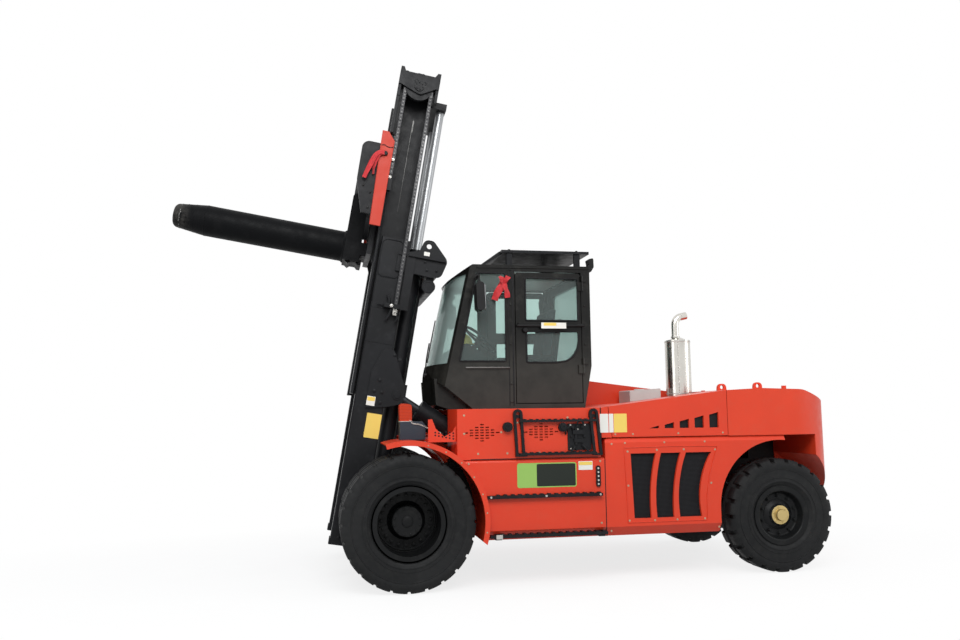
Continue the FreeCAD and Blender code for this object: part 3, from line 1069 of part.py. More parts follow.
# ---------------------------------------------------------------------------------------------------
# Mast, in the mast frame: X forward of the pivot, Z up the mast
# ---------------------------------------------------------------------------------------------------
def outer_mast():
    """Two channels that open inwards, with pivot feet, tilt brackets, a tail bracket and crossmembers."""
    rear, front, inner, outer = S.channel_rear, CHANNEL_FRONT, CHANNEL_INNER, S.mast_outer_y
    lip, web = S.channel_flange, S.mast_outer_y - S.channel_web
    channel = slab("channel", "XY", [(rear, inner), (rear + lip, inner), (rear + lip, web), (front - lip, web),
                                     (front - lip, inner), (front, inner), (front, outer, 12), (rear, outer, 12)],
                   S.outer_mast_bottom, S.outer_mast_top)
    foot = slab("mast_foot", "XZ", [(-78, -78, 70), (-78, 78, 70), (rear + 5, 280),
                                    (rear + 5, S.outer_mast_bottom)],
                inner + 15, web + 2)
    bore = rod("foot_bore", "y", (0, inner, 0), S.pivot_pin_radius + S.pin_clearance, outer - inner)
    shoe = box("mast_shoe", (rear + 12, front + 10), (inner, outer), (S.outer_mast_bottom - 60,
                                                                      S.outer_mast_bottom + 5))
    eye_v, eye_u = S.tilt_eye_v, S.tilt_eye_u
    near = [(eye_v - 70, eye_u + 75, 50), (eye_v - 70, eye_u - 78, 50)]
    plate_out = slab("tilt_plate_out", "XZ", [(rear + 180, 1040), (rear + 180, 1400), (rear + 95, 1650, 60),
                                              (rear - 10, 1650, 40), *near, (rear - 20, 1075)], outer, outer + 25)
    plate_in = slab("tilt_plate_in", "XZ", [(rear + 5, 1060), (rear + 5, 1440), (rear - 30, 1440), *near],
                    inner, inner + 22)
    tilt_pin = rod("tilt_mast_pin", "y", (eye_v, inner + 10, eye_u), S.tilt_pin_radius, outer - inner + 12)
    bracket = slab("tail_bracket", "XZ", [(rear + 115, 2450), (rear + 115, 2640), (45, 2690), (5, 2822, 60),
                                          (-85, 2822, 60), (-262, 2640, 80), (-215, 2462, 60), (-110, 2440),
                                          (60, 2450)], outer, outer + 25)
    bracket_hole = rod("tail_bracket_hole", "y", (-47, outer - 5, 2758), 27, 35)
    shelf = slab("tail_shelf", "XY", [(-240, outer + 20), (S.sheave_v - 84, outer + 20),
                                      (S.sheave_v - 84, outer + 38), (rear + 7, outer + 38),
                                      (rear + 7, outer + 58), (-240, outer + 58)], 2618, 2640)
    guide = box("chain_guard", (rear - 72, rear + 20), (outer - 5, outer + 34), (S.chain_anchor_u - 40, 2640))
    anchor = box("chain_anchor", (rear + 20, rear + 170), (outer - 5, S.chain_y + 32),
                 (S.chain_anchor_u - 45, S.chain_anchor_u - 1))
    base = box("barrel_base", (-38, rear + 5), (S.barrel_y - 90, inner + 5), (S.barrel_foot - 50, S.barrel_foot))
    saddle = cut("saddle", box("saddle_block", (-90, 10), (S.barrel_y - 70, S.barrel_y + 70), (2550, 2600)),
                 rod("saddle_bore", "z", (S.barrel_v, S.barrel_y, 2540), S.barrel_radius, 80))
    side = fuse("outer_mast_side", channel, cut("foot_cut", foot, bore), shoe, plate_out, plate_in, tilt_pin,
                cut("tail_bracket_cut", bracket, bracket_hole), shelf, guide, anchor, base, saddle)
    beam = box("tail_beam", (-200, -70), (-outer, outer), (2500, 2640))
    tube = rod("tail_tube", "y", (-106, -outer, 2350), 70, 2 * outer)
    hanger = box("tail_tube_hanger", (-150, -75), (outer - 50, outer - 25), (2350, 2510))
    tie = box("middle_tie", (-68, -36), (-inner - 22, inner + 22), (1090, 1330))
    low_tie = box("low_tie", (70, rear + 5), (-inner - 5, inner + 5),
                  (S.outer_mast_bottom, S.outer_mast_bottom + 60))
    mast_node("outer_mast", fuse("outer_mast_all", side, mirror("outer_mast_right", side), beam, tube, tie,
                                 low_tie, hanger, mirror("tail_tube_hanger_right", hanger)))


def lift_cylinders():
    """The two lift barrels behind the channels, bored for their rods."""
    barrel = rod("barrel", "z", (S.barrel_v, S.barrel_y, S.barrel_foot), S.barrel_radius,
                 S.barrel_top - S.barrel_foot)
    gland = rod("gland", "z", (S.barrel_v, S.barrel_y, S.barrel_top - 45), S.barrel_radius + 8, 45)
    bore_foot = S.rod_top - S.rod_length - 1480
    bore = rod("barrel_bore", "z", (S.barrel_v, S.barrel_y, bore_foot), S.barrel_bore,
               S.barrel_top - bore_foot + 1)
    mast_node("lift_cylinders", both("lift_cylinder_pair",
                                     cut("lift_cylinder", fuse("barrel_all", barrel, gland), bore)))


SHEAVE_PIN_RADIUS, SHEAVE_RIM = 29, 26
SHEAVE_HALF = S.chain_width / 2 + 6


def inner_mast():
    """Two flanged beams that slide in the outer channels, joined by a head that carries the chain sheaves."""
    web_out = CHANNEL_INNER - 2 * S.mast_gap
    web_in = web_out - S.inner_web
    rear = S.channel_rear + S.channel_flange + S.mast_gap
    front = CHANNEL_FRONT + 20 + S.inner_flange
    lip_in, lip_out = web_in - S.inner_lip, S.mast_outer_y - S.channel_web - 2 * S.mast_gap
    flange = S.inner_flange
    section = [(rear, lip_in), (rear + flange, lip_in), (rear + flange, web_in), (front - flange, web_in),
               (front - flange, lip_in), (front, lip_in), (front, S.mast_outer_y, 8),
               (front - flange, S.mast_outer_y, 8), (front - flange, web_out), (rear + flange, web_out),
               (rear + flange, lip_out), (rear, lip_out)]
    beam = slab("inner_beam", "XY", section, S.inner_mast_bottom, S.inner_mast_top)
    roller_v = S.channel_rear + S.channel_depth / 2
    roller = rod("inner_roller", "y", (roller_v, web_out - 5, S.inner_mast_bottom + 130),
                 S.channel_depth / 2 - S.channel_flange - S.roller_gap, S.inner_lip + 22)
    block_out, plate_in = S.mast_outer_y + 15, S.chain_y + SHEAVE_HALF + 1
    head_block = box("head_block", (rear, front), (web_in, block_out), (S.rod_top + 60, S.inner_mast_top - 12))
    head_front, head_rear, wall = S.sheave_v + 215, S.sheave_v - 205, 30
    ear_top, brow = S.sheave_u + 178, S.sheave_u + 125
    head_plate = slab("head_plate", "XZ", [
        (head_rear, S.sheave_u + 5), (head_rear, ear_top), (head_rear + 33, ear_top), (head_rear + 63, brow),
        (head_front - 57, brow), (head_front - 32, ear_top), (head_front, ear_top), (head_front, S.sheave_u - 12),
        (head_front - 25, S.sheave_u - 12), (S.sheave_v - 22, S.sheave_u - 89, 60),
        (head_rear + 33, S.sheave_u + 5)], plate_in, plate_in + 20)
    front_wall = box("head_front_wall", (head_front - wall, head_front), (S.mast_outer_y - 15, plate_in - 4),
                     (S.sheave_u - 535, S.sheave_u + 170))
    front_cheek = box("head_front_cheek", (head_front - wall, head_front), (plate_in - 10, plate_in + 5),
                      (S.sheave_u - 135, S.sheave_u + 170))
    front_web = box("head_front_web", (front - 10, head_front - wall + 5), (S.mast_outer_y - 15, block_out),
                    (S.sheave_u - 535, S.sheave_u + 170))
    rear_wall = box("head_rear_wall", (head_rear, head_rear + wall), (S.mast_outer_y - 15, plate_in + 5),
                    (S.sheave_u - 135, S.sheave_u + 165))
    rear_web = box("head_rear_web", (head_rear + wall - 5, rear + 10), (S.mast_outer_y - 15, block_out),
                   (S.sheave_u - 135, S.sheave_u + 165))
    pin = rod("sheave_pin", "y", (S.sheave_v, S.mast_outer_y, S.sheave_u), SHEAVE_PIN_RADIUS,
              plate_in + 24 - S.mast_outer_y)
    cap = rod("sheave_cap", "y", (S.sheave_v, plate_in + 15, S.sheave_u), 52, 16)
    side = fuse("inner_mast_side", beam, roller, head_block, head_plate, front_wall, front_cheek, front_web,
                rear_wall, rear_web, pin, cap)
    lift_beam = box("lift_beam", (S.barrel_v - 52, rear + flange), (-web_out, web_out),
                    (S.rod_top, S.rod_top + 72))
    top_tie = box("top_tie", (rear, front), (-web_out, web_out), (S.inner_mast_top - 110, S.inner_mast_top))
    low_tie = box("inner_low_tie", (rear, rear + flange), (-web_out, web_out),
                  (S.inner_mast_bottom + 10, S.inner_mast_bottom + 160))
    middle_tie = box("inner_middle_tie", (rear, rear + flange), (-web_out, web_out), (3000, 3130))
    mast_node("inner_mast", fuse("inner_mast_all", side, mirror("inner_mast_right", side), lift_beam, top_tie,
                                 low_tie, middle_tie))


def lift_rods():
    """Chromed rods that push the inner mast up."""
    bar = rod("lift_rod", "z", (S.barrel_v, S.barrel_y, S.rod_top - S.rod_length), S.rod_radius, S.rod_length)
    mast_node("lift_rods", both("lift_rod_pair", bar))


def chain_sheaves():
    """Grooved wheels at the mast head that turn the lift chains."""
    groove, edge = S.chain_width / 2 + 2, S.sheave_radius + SHEAVE_RIM
    wheel = turned("sheave", [(-SHEAVE_HALF, SHEAVE_PIN_RADIUS), (-SHEAVE_HALF, edge), (-groove, edge),
                              (-groove, S.sheave_radius), (groove, S.sheave_radius), (groove, edge),
                              (SHEAVE_HALF, edge), (SHEAVE_HALF, SHEAVE_PIN_RADIUS)])
    left = group("sheave_left", wheel)
    put(left, S.sheave_v, S.chain_y, S.sheave_u)
    mast_node("chain_sheaves", both("sheave_pair", left))


def lift_chains():
    """Leaf chains from the outer mast's anchors, over the sheaves and down to the carriage."""
    low, high = S.chain_y - S.chain_width / 2, S.chain_y + S.chain_width / 2
    near, far = S.sheave_radius, S.sheave_radius + S.chain_thick
    rear = box("chain_rear", (S.sheave_v - far, S.sheave_v - near), (low, high),
               (S.chain_anchor_u, S.sheave_u))
    front = box("chain_front", (S.sheave_v + near, S.sheave_v + far), (low, high),
                (S.chain_end_u + 1, S.sheave_u))
    over = cut("chain_over", rod("chain_outer", "y", (S.sheave_v, low, S.sheave_u), far, S.chain_width),
               rod("chain_inner", "y", (S.sheave_v, low - 1, S.sheave_u), near, S.chain_width + 2),
               box("chain_below", (S.sheave_v - far - 5, S.sheave_v + far + 5), (low - 5, high + 5),
                   (S.sheave_u - far - 5, S.sheave_u)))
    mast_node("lift_chains", both("chain_pair", fuse("chain", rear, front, over)))


# ---------------------------------------------------------------------------------------------------
# Carriage and coil ram, in the mast frame
# ---------------------------------------------------------------------------------------------------
def carriage():
    """Roller plates that run inside the inner mast, two bars across the front and a cheek on each end."""
    rear = S.channel_rear + S.channel_flange + S.mast_gap
    front = CHANNEL_FRONT + 20 + S.inner_flange
    lip_in = CHANNEL_INNER - 2 * S.mast_gap - S.inner_web - S.inner_lip
    low, top = S.carriage_bottom, S.carriage_top
    bar_rear = S.bar_front - S.bar_thick
    plate = slab("roller_plate", "XZ", [(rear + 50, low, 30), (rear + 50, top, 30), (bar_rear + 5, top),
                                        (bar_rear + 5, S.low_bar_u), (front - 40, low)], lip_in - 40, lip_in - 10)
    roller_v = (rear + front) / 2
    roller_radius = (front - rear) / 2 - S.inner_flange - S.roller_gap
    rollers = [rod(f"carriage_roller_{index}", "y", (roller_v, lip_in - 12, u), roller_radius, S.inner_lip + 7)
               for index, u in enumerate((low + 150, top - 150))]
    lug = box("chain_lug", (S.sheave_v + S.sheave_radius - 6, S.bar_front - 15),
              (S.chain_y - 26, S.chain_y + 26), (top - 60, S.chain_end_u))
    cheek = slab("cheek", "XZ", [(S.bar_front - 10, 2960), (S.bar_front - 10, 3706),
                                 (S.bar_front + 230, 3706, 75), (S.bar_front + 225, 3300),
                                 (S.bar_front + 130, 2960)], S.guard_y - 40, S.guard_y)
    side = fuse("carriage_side", plate, *rollers, lug, cheek)
    bars = [box("bar_low", (bar_rear, S.bar_front), (-S.bar_half, S.bar_half),
                (S.low_bar_u, S.low_bar_u + S.bar_height - 40)),
            box("bar_top", (bar_rear, S.bar_front), (-S.guard_y, S.guard_y), (top - S.bar_height - 20, top - 20))]
    uprights = [box(f"carriage_upright_{sign}", (bar_rear, S.bar_front), (250, 360) if sign > 0 else (-360, -250),
                    (S.low_bar_u, top - 20)) for sign in (1, -1)]
    mast_node("carriage", fuse("carriage_all", side, mirror("carriage_right", side), *bars, *uprights))


def side_guards():
    """The painted guards on the outside of the carriage's cheek plates."""
    front = S.bar_front
    guard = slab("side_guard", "XZ", [(front - 84, S.guard_bottom), (front + 26, S.guard_bottom),
                                      (front + 50, S.guard_top - 180), (front + 54, S.guard_top),
                                      (front - 12, S.guard_top), (front - 84, S.guard_top - 90)],
                 S.guard_y, S.guard_y + 30)
    mast_node("side_guards", both("guard_pair", guard))


def coil_ram():
    """The hook-on back plate and the long round ram that slides through a coil's eye."""
    front, half = S.hook_plate_front, S.hook_plate_half
    low, top = S.hanger_bottom, S.carriage_top
    plate = slab("ram_plate", "XZ", [(front - 170, low), (front, low), (front, top - 60, 30),
                                     (front - 60, top - 10), (front - 170, top - 10)], -half, half)
    hooks = [box("hook_top", (S.bar_front, front - 165), (-half, half), (top - 190, top - 30)),
             box("hook_low", (S.bar_front, front - 165), (-half, half), (S.low_bar_u + 10, S.low_bar_u + 150))]
    claw = slab("ram_claw", "XZ", [(front - 200, low + 30), (front - 20, low + 30), (front - 20, low),
                                   (front - 60, low - 30), (front - 90, low - 4), (front - 140, low - 4),
                                   (front - 165, low - 30), (front - 200, low - 30)], 40 - half, half - 40)
    ram = turned("ram", [(-10, 0), (-10, S.ram_radius), (S.ram_length - S.nose_length, S.ram_radius),
                         (S.ram_length, S.nose_radius, S.nose_round), (S.ram_length, 0)])
    put(ram, front, 0, S.ram_u, FreeCAD.Rotation(V(0, 0, 1), -90))
    mast_node("coil_ram", fuse("coil_ram_all", plate, *hooks, claw, ram))


# ---------------------------------------------------------------------------------------------------
# Tilt cylinders, along X from their frame pin
# ---------------------------------------------------------------------------------------------------
def tilt_cylinders():
    """Barrels pinned to the chassis, and the rods pinned to the mast."""
    low, width = S.tilt_y - S.tilt_eye_half, 2 * S.tilt_eye_half
    reach = TILT_SPAN
    tube_start = 125
    barrel = rod("tilt_tube", "x", (tube_start, S.tilt_y, 0), S.tilt_barrel_radius,
                 S.tilt_barrel_end - tube_start)
    neck = box("tilt_neck", (0, tube_start + 5), (low, low + width), (-48, 48))
    eye = rod("tilt_tube_eye", "y", (0, low, 0), S.tilt_eye_radius, width)
    gland = rod("tilt_gland", "x", (S.tilt_barrel_end - 40, S.tilt_y, 0), S.tilt_barrel_radius + 4, 40)
    bore = rod("tilt_bore", "x", (200, S.tilt_y, 0), S.tilt_rod_radius + 5, S.tilt_barrel_end - 199)
    pin_hole = rod("tilt_tube_hole", "y", (0, low - 1, 0), S.tilt_pin_radius + S.pin_clearance, width + 2)
    tube = fuse("tilt_tube_all", barrel, neck, eye, gland)
    tilt_node("tilt_barrels", both("tilt_barrel_pair", cut("tilt_barrel", tube, bore, pin_hole)))
    shaft = rod("tilt_shaft", "x", (reach - 680, S.tilt_y, 0), S.tilt_rod_radius, 640)
    rod_eye = rod("tilt_rod_eye", "y", (reach, low, 0), 58, width)
    rod_hole = rod("tilt_rod_hole", "y", (reach, low - 1, 0), S.tilt_pin_radius + S.rod_eye_slack, width + 2)
    tilt_node("tilt_rods", both("tilt_rod_pair", cut("tilt_rod", fuse("tilt_shaft_all", shaft, rod_eye),
                                                     rod_hole)))


# ---------------------------------------------------------------------------------------------------
# The whole truck
# ---------------------------------------------------------------------------------------------------
def write():
    """Checks every object and writes each sub-part to its own STEP file."""
    DOC.recompute()
    bad = [item.Name for item in DOC.Objects if "Invalid" in item.State or "Error" in item.State]
    for name, thing in NODES.items():
        if thing.Shape.isNull() or not thing.Shape.isValid():
            bad.append(name)
    if bad:
        raise RuntimeError("failed: " + ", ".join(bad))
    os.makedirs("parts", exist_ok=True)
    for name, thing in NODES.items():
        thing.Shape.exportStep(os.path.join("parts", name + ".step"))


wheels()
front_axle()
steer_axle()
chassis()
engine()
counterweight()
fenders()
side_tanks()
side_boxes()
side_panels()
grilles()
hood()
for side_name, sign in (("left", 1), ("right", -1)):
    knuckle(side_name, sign)
    hood_lid(side_name, sign)
    door(side_name, sign)
steps()
boarding_frame()
valve_block()
lamps()
exhaust()
cab()
roof_guard()
cab_inside()
mirrors()
work_lamps()
outer_mast()
lift_cylinders()
inner_mast()
lift_rods()
chain_sheaves()
lift_chains()
carriage()
side_guards()
coil_ram()
tilt_cylinders()
write()
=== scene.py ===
"""Looks of the coil-ram lift truck: materials, wheels, chains, cloth, fasteners, plates, trim, floor and light."""
import bpy
import bmesh
import random
from math import cos, pi, radians, sin, sqrt
from mathutils import Matrix, Vector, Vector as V


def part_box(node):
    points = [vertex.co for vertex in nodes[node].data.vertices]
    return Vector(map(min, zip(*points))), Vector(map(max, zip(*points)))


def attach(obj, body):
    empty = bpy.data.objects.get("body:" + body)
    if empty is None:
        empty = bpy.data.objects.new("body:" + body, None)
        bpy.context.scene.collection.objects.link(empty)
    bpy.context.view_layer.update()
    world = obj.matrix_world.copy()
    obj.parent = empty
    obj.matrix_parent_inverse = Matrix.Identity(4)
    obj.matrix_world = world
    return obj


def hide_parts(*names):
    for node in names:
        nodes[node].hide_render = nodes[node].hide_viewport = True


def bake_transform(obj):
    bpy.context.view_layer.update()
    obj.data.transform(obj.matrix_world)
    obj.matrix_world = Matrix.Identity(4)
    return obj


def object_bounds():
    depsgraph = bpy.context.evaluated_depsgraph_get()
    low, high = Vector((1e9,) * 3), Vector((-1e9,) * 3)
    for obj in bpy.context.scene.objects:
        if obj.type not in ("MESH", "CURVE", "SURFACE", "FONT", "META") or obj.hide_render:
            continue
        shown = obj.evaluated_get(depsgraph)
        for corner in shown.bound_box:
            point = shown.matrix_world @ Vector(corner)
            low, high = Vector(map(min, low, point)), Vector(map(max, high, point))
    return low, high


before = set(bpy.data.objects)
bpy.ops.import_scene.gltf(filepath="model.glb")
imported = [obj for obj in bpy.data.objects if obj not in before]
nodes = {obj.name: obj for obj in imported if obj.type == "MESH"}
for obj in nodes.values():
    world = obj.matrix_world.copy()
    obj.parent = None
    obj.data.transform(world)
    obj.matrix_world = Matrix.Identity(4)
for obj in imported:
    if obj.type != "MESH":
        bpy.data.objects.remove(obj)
cad_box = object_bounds()
random.seed(18)


# ---- Places: vectors are in metres; every bare length given to a shape or a frame is in mm ----
def middle(node):
    low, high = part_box(node)
    return (V(low) + V(high)) / 2


AXLE, REAR = middle("front_rims_left"), middle("rear_rim_left")
FRONT_R, REAR_R = 620, 560  # the tyres' radii, and so the axles' heights
FRONT_Y, REAR_Y = (753, 1113), 1000  # how far out the tyres' middles are
LEAN = radians(9.5)
PIVOT = V((AXLE.x + 0.22, 0, 0.6))
FORWARD = V((cos(LEAN), 0, sin(LEAN)))
UPWARD = V((-sin(LEAN), 0, cos(LEAN)))
X, Y, Z = V((1, 0, 0)), V((0, 1, 0)), V((0, 0, 1))
SIDES = (("left", 1, Y), ("right", -1, -Y))
PANEL, CAB, DOOR, MAST, BRACKET = 1200, 750, 802, 560, 585  # half widths to the faces that carry the details
FILM, OVER = 0.2, 1.3  # how far a label and a band printed over it stand off a face
BEAD = 1.0  # how far the middle of a window's bead and of the grille's rim stands off its face


def T(x, y, z):
    """A point of the truck frame, on the ground under the front axle."""
    return V((AXLE.x + x / 1000, y / 1000, z / 1000))


def M(v, u, y):
    """A point of the mast frame: v forward of the pivot, u up the mast and y to the left."""
    return PIVOT + FORWARD * (v / 1000) + UPWARD * (u / 1000) + V((0, y / 1000, 0))


def mm(*parts):
    """A vector given in mm."""
    return V([part / 1000 for part in parts])


def local(spot, x, y, z):
    """A local frame at a point, from its three axes."""
    return Matrix.Translation(spot) @ Matrix((x, y, z)).transposed().to_4x4()


def side_place(x, y, z, sign=1):
    """A local frame on a side of the truck: local X level along the side, local Y up, local Z outwards."""
    return local(T(x, sign * y, z), X * -sign, Z, Y * sign)


def mast_place(v, u, y, sign=1):
    """A local frame on a side of the mast: local X forward, local Y up the mast, local Z outwards."""
    return local(M(v, u, sign * y), FORWARD, UPWARD, Y * sign)


def at(x, y, z, tilt=0):
    """The truck's axes at a point, tilted about Y by an angle in degrees."""
    return Matrix.Translation(T(x, y, z)) @ Matrix.Rotation(radians(tilt), 4, "Y")


# ---- Materials ----
class Nodes:
    """A node tree, with short calls for the nodes that the surfaces share."""

    def __init__(self, owner):
        owner.use_nodes = True
        self.tree = owner.node_tree
        self.shader = self.tree.nodes.get("Principled BSDF")
        self.coords = self.new("TexCoord").outputs["Object"]

    def put(self, socket, value):
        """Links another node's output to a socket, or sets the socket to a number or a colour."""
        if isinstance(value, bpy.types.NodeSocket):
            self.tree.links.new(value, socket)
        else:
            socket.default_value = (*value, 1) if isinstance(value, tuple) else value

    def new(self, kind, *values):
        node = self.tree.nodes.new("ShaderNode" + kind)
        for socket, value in zip(node.inputs, values):
            self.put(socket, value)
        return node

    def set(self, node=None, **values):
        for name, value in values.items():
            self.put((node or self.shader).inputs[name.replace("_", " ")], value)

    def ramp(self, value, low, high, out_low=0.0, out_high=1.0):
        return self.new("MapRange", value, low, high, out_low, out_high).outputs["Result"]

    def noise(self, scale, detail, rough=0.55):
        node = self.new("TexNoise", self.coords)
        self.set(node, Scale=scale, Detail=detail, Roughness=rough)
        return node.outputs["Fac"]

    def cloud(self, scale, detail, out_low=0.0, out_high=1.0, low=0.3, high=0.7, rough=0.55):
        return self.ramp(self.noise(scale, detail, rough), low, high, out_low, out_high)

    def math(self, operation, *values):
        node = self.new("Math", *values)
        node.operation = operation
        return node.outputs[0]

    def mix(self, factor, first, second):
        node = self.new("Mix")
        node.data_type = "RGBA"
        for index, value in ((0, factor), (6, first), (7, second)):
            self.put(node.inputs[index], value)
        return node.outputs[2]

    def split(self, vector=None):
        return self.new("SeparateXYZ", vector or self.coords).outputs

    def waves(self, value, length):
        return self.math("ABSOLUTE", self.math("SINE", self.math("MULTIPLY", value, 2 * pi / length)))

    def bump(self, height, strength, distance, edge=0.0):
        node = self.new("Bump")
        self.set(node, Strength=strength, Distance=distance, Height=height)
        if edge:
            bevel = self.new("Bevel", edge)
            bevel.samples = 4
            self.set(node, Normal=bevel.outputs["Normal"])
        self.set(Normal=node.outputs["Normal"])

    def blend(self, factor, first, second):
        """Mixes two shaders into the tree's output."""
        output = next(node for node in self.tree.nodes if "Output" in node.name)
        self.set(output, Surface=self.new("MixShader", factor, first.outputs[0], second.outputs[0]).outputs[0])

    def seen(self):
        """1 for the rays that see a surface: from the camera, in a reflection or through glass."""
        path = self.new("LightPath").outputs
        return self.math("MAXIMUM", path["Is Camera Ray"],
                         self.math("MAXIMUM", path["Is Glossy Ray"], path["Is Transmission Ray"]))


LOOKS, SLOT = {}, {}


def begin(look, slot, name):
    """Starts the material of a look, and notes the slot of the pieces that wear it."""
    LOOKS[look], SLOT[look] = bpy.data.materials.new(name), slot
    return Nodes(LOOKS[look])


def paint(look, slot, name, colour, rough=0.42, metal=0.0, coat=0.0, blotch=0.2, edge=0.003, dust=None,
          amount=0.25, peel=0.02, shine=0.3, dull_front=False, ground_reflection=None):
    """Sprayed or cast surfaces: a base colour with slow tone changes, fine grain, dust and softened edges, and, if
    asked, a painted reflection of the ground low down.
    """
    n = begin(look, slot, name)
    dark, pale = (tuple(min(1.0, part * tone) for part in colour) for tone in (1 - blotch, 1 + blotch))
    body = n.mix(n.cloud(1.7, 4), dark, pale)
    if dust:
        body = n.mix(n.cloud(9.0, 8, 0.0, amount, 0.52, 0.78, 0.7), body, dust)
    if ground_reflection:  # a painted reflection of the ground: a paler tone that grows from one height down to another, broken by noise
        tone, top, bottom = ground_reflection
        reflection_share = n.ramp(n.split()[2], bottom, top, 1.0, 0.0)
        body = n.mix(n.math("MULTIPLY", reflection_share, n.cloud(2.4, 4, 0.25, 1.0, 0.32, 0.62)), body, tone)
    n.set(Base_Color=body, Roughness=n.cloud(14.0, 5, rough * 0.85, rough * 1.15 + 0.03), Metallic=metal,
          Specular_IOR_Level=shine)
    if dull_front:  # forward faces stay deep and even, without a sheen off the pale background
        forward = n.split(n.new("NewGeometry").outputs["Normal"])[0]
        n.set(Specular_IOR_Level=n.ramp(forward, 0.3, 0.7, shine, 0.0))
    if coat:
        n.set(Coat_Weight=coat, Coat_Roughness=0.08)
    n.bump(n.noise(150.0, 2), peel * 5, 0.0006, edge)


paint("red", "red_paint", "red_enamel", (0.66, 0.047, 0.017), 0.36, coat=0.08, blotch=0.05, dust=(0.52, 0.1, 0.05),
      amount=0.2, dull_front=True)
paint("red_cast", "cast_block", "red_casting", (0.68, 0.05, 0.016), coat=0.1, blotch=0.06, peel=0.1, edge=0.006,
      dust=(0.5, 0.1, 0.05))
paint("guard", "red_paint", "guard_red", (0.5, 0.042, 0.022), 0.45, blotch=0.06, shine=0.25)
# the cab's black carries a painted reflection of the ground, paler towards the bottom
paint("black", "dark_paint", "cab_black", (0.007, 0.007, 0.0065), 0.2, blotch=0.3, dust=(0.075, 0.07, 0.06),
      amount=0.35, peel=0.008, shine=0.22, dull_front=True, ground_reflection=((0.034, 0.033, 0.029), 2.42, 2.02))
paint("mast", "dark_paint", "mast_charcoal", (0.008, 0.0085, 0.0098), blotch=0.35, dust=(0.038, 0.039, 0.042),
      amount=0.35, peel=0.06, shine=0.16)
paint("chassis", "dark_paint", "chassis_black", (0.007, 0.007, 0.0075), 0.5, blotch=0.3, dust=(0.08, 0.07, 0.06),
      amount=0.2, shine=0.2, dull_front=True)
paint("wheel", "dark_paint", "wheel_black", (0.0055, 0.006, 0.0065), blotch=0.3, dust=(0.03, 0.03, 0.028),
      amount=0.4, shine=0.16)
paint("worn", "dark_paint", "worn_edge", (0.12, 0.12, 0.115), 0.4, 0.5, blotch=0.4, edge=0)
paint("post", "post_paint", "post_blue_grey", (0.02, 0.028, 0.042), blotch=0.15, dust=(0.06, 0.06, 0.06), shine=0.35)
paint("grey", "grey_paint", "light_grey_paint", (0.5, 0.5, 0.48), blotch=0.06, dust=(0.36, 0.33, 0.3), shine=0.5)
paint("engine", "grey_paint", "engine_grey", (0.14, 0.15, 0.16), 0.5, dust=(0.2, 0.18, 0.15), shine=0.5)
paint("wire", "grey_paint", "white_wire", (0.58, 0.56, 0.51), 0.5, blotch=0.1, edge=0, shine=0.5)
paint("plastic", "dark_plastic", "black_plastic", (0.0075, 0.0075, 0.008), 0.46, blotch=0.15, dust=(0.03, 0.03, 0.03),
      shine=0.2)
paint("gasket", "dark_plastic", "rubber_gasket", (0.005, 0.005, 0.006), 0.62, edge=0.002, shine=0.25)
paint("hose", "dark_plastic", "hose_rubber", (0.007, 0.007, 0.008), 0.55, edge=0)
paint("steel", "bright_steel", "zinc_steel", (0.5, 0.49, 0.46), 0.32, 0.9, edge=0.001, blotch=0.12, shine=0.5)
paint("stud", "bright_steel", "panel_stud", (0.42, 0.3, 0.2), 0.45, 0.4, edge=0)
paint("brass", "bright_steel", "gilt_cap", (0.5, 0.38, 0.16), 0.36, 0.75, blotch=0.12, edge=0.002,
      dust=(0.3, 0.24, 0.14), shine=0.5)
paint("rod", "bright_steel", "ground_rod", (0.36, 0.37, 0.38), 0.3, 0.55, blotch=0.04, edge=0, peel=0.0, shine=0.5)
paint("rod_dark", "bright_steel", "oiled_rod", (0.04, 0.042, 0.046), 0.32, 0.6, edge=0)
paint("chain", "chain_steel", "oiled_chain", (0.04, 0.04, 0.042), 0.4, 0.6, blotch=0.45, edge=0.001,
      dust=(0.13, 0.125, 0.115))
paint("pin", "chain_steel", "chain_pin", (0.13, 0.13, 0.125), 0.4, 0.7, blotch=0.4, edge=0)
paint("seat", "seat_cloth", "seat_cloth", (0.018, 0.019, 0.023), 0.9, edge=0, peel=0.3,
      dust=(0.06, 0.06, 0.066), shine=0.5)
for look, slot, colour, rough, blotch in (("plate_yellow", "grey_paint", (0.82, 0.59, 0.13), 0.45, 0.05),
                                          ("plate_white", "grey_paint", (0.76, 0.75, 0.7), 0.5, 0.05),
                                          ("plate_green", "grey_paint", (0.28, 0.48, 0.11), 0.45, 0.05),
                                          ("plate_dark", "dark_plastic", (0.008, 0.012, 0.008), 0.45, 0.1)):
    paint(look, slot, look, colour, rough, blotch=blotch, edge=0)

n = begin("tyre", "tyre_rubber", "tyre_rubber")
tone = n.mix(n.cloud(2.2, 5), (0.0085, 0.009, 0.0095), (0.016, 0.0165, 0.017))
n.set(Base_Color=n.mix(n.cloud(11.0, 8, 0.0, 0.35, 0.5, 0.8, 0.7), tone, (0.04, 0.039, 0.036)),
      Roughness=n.cloud(24.0, 4, 0.55, 0.75), Specular_IOR_Level=0.16)
n.bump(n.noise(90.0, 4), 0.25, 0.001)

# the ram: flat black paint, rubbed down to grey round the nose
n = begin("ram", "dark_paint", "ram_black")
rubbed = n.math("MULTIPLY", n.ramp(n.split()[0], 3.19, 3.29), n.cloud(16.0, 6, low=0.4, high=0.6, rough=0.7))
tone = n.mix(n.cloud(9.0, 8, 0.0, 0.35, 0.52, 0.78, 0.7), (0.0025, 0.0028, 0.0034), (0.014, 0.014, 0.015))
n.set(Base_Color=n.mix(rubbed, tone, (0.048, 0.046, 0.042)), Roughness=n.cloud(14.0, 5, 0.42, 0.6),
      Specular_IOR_Level=0.08)
n.bump(n.noise(150.0, 2), 0.25, 0.0006, 0.003)

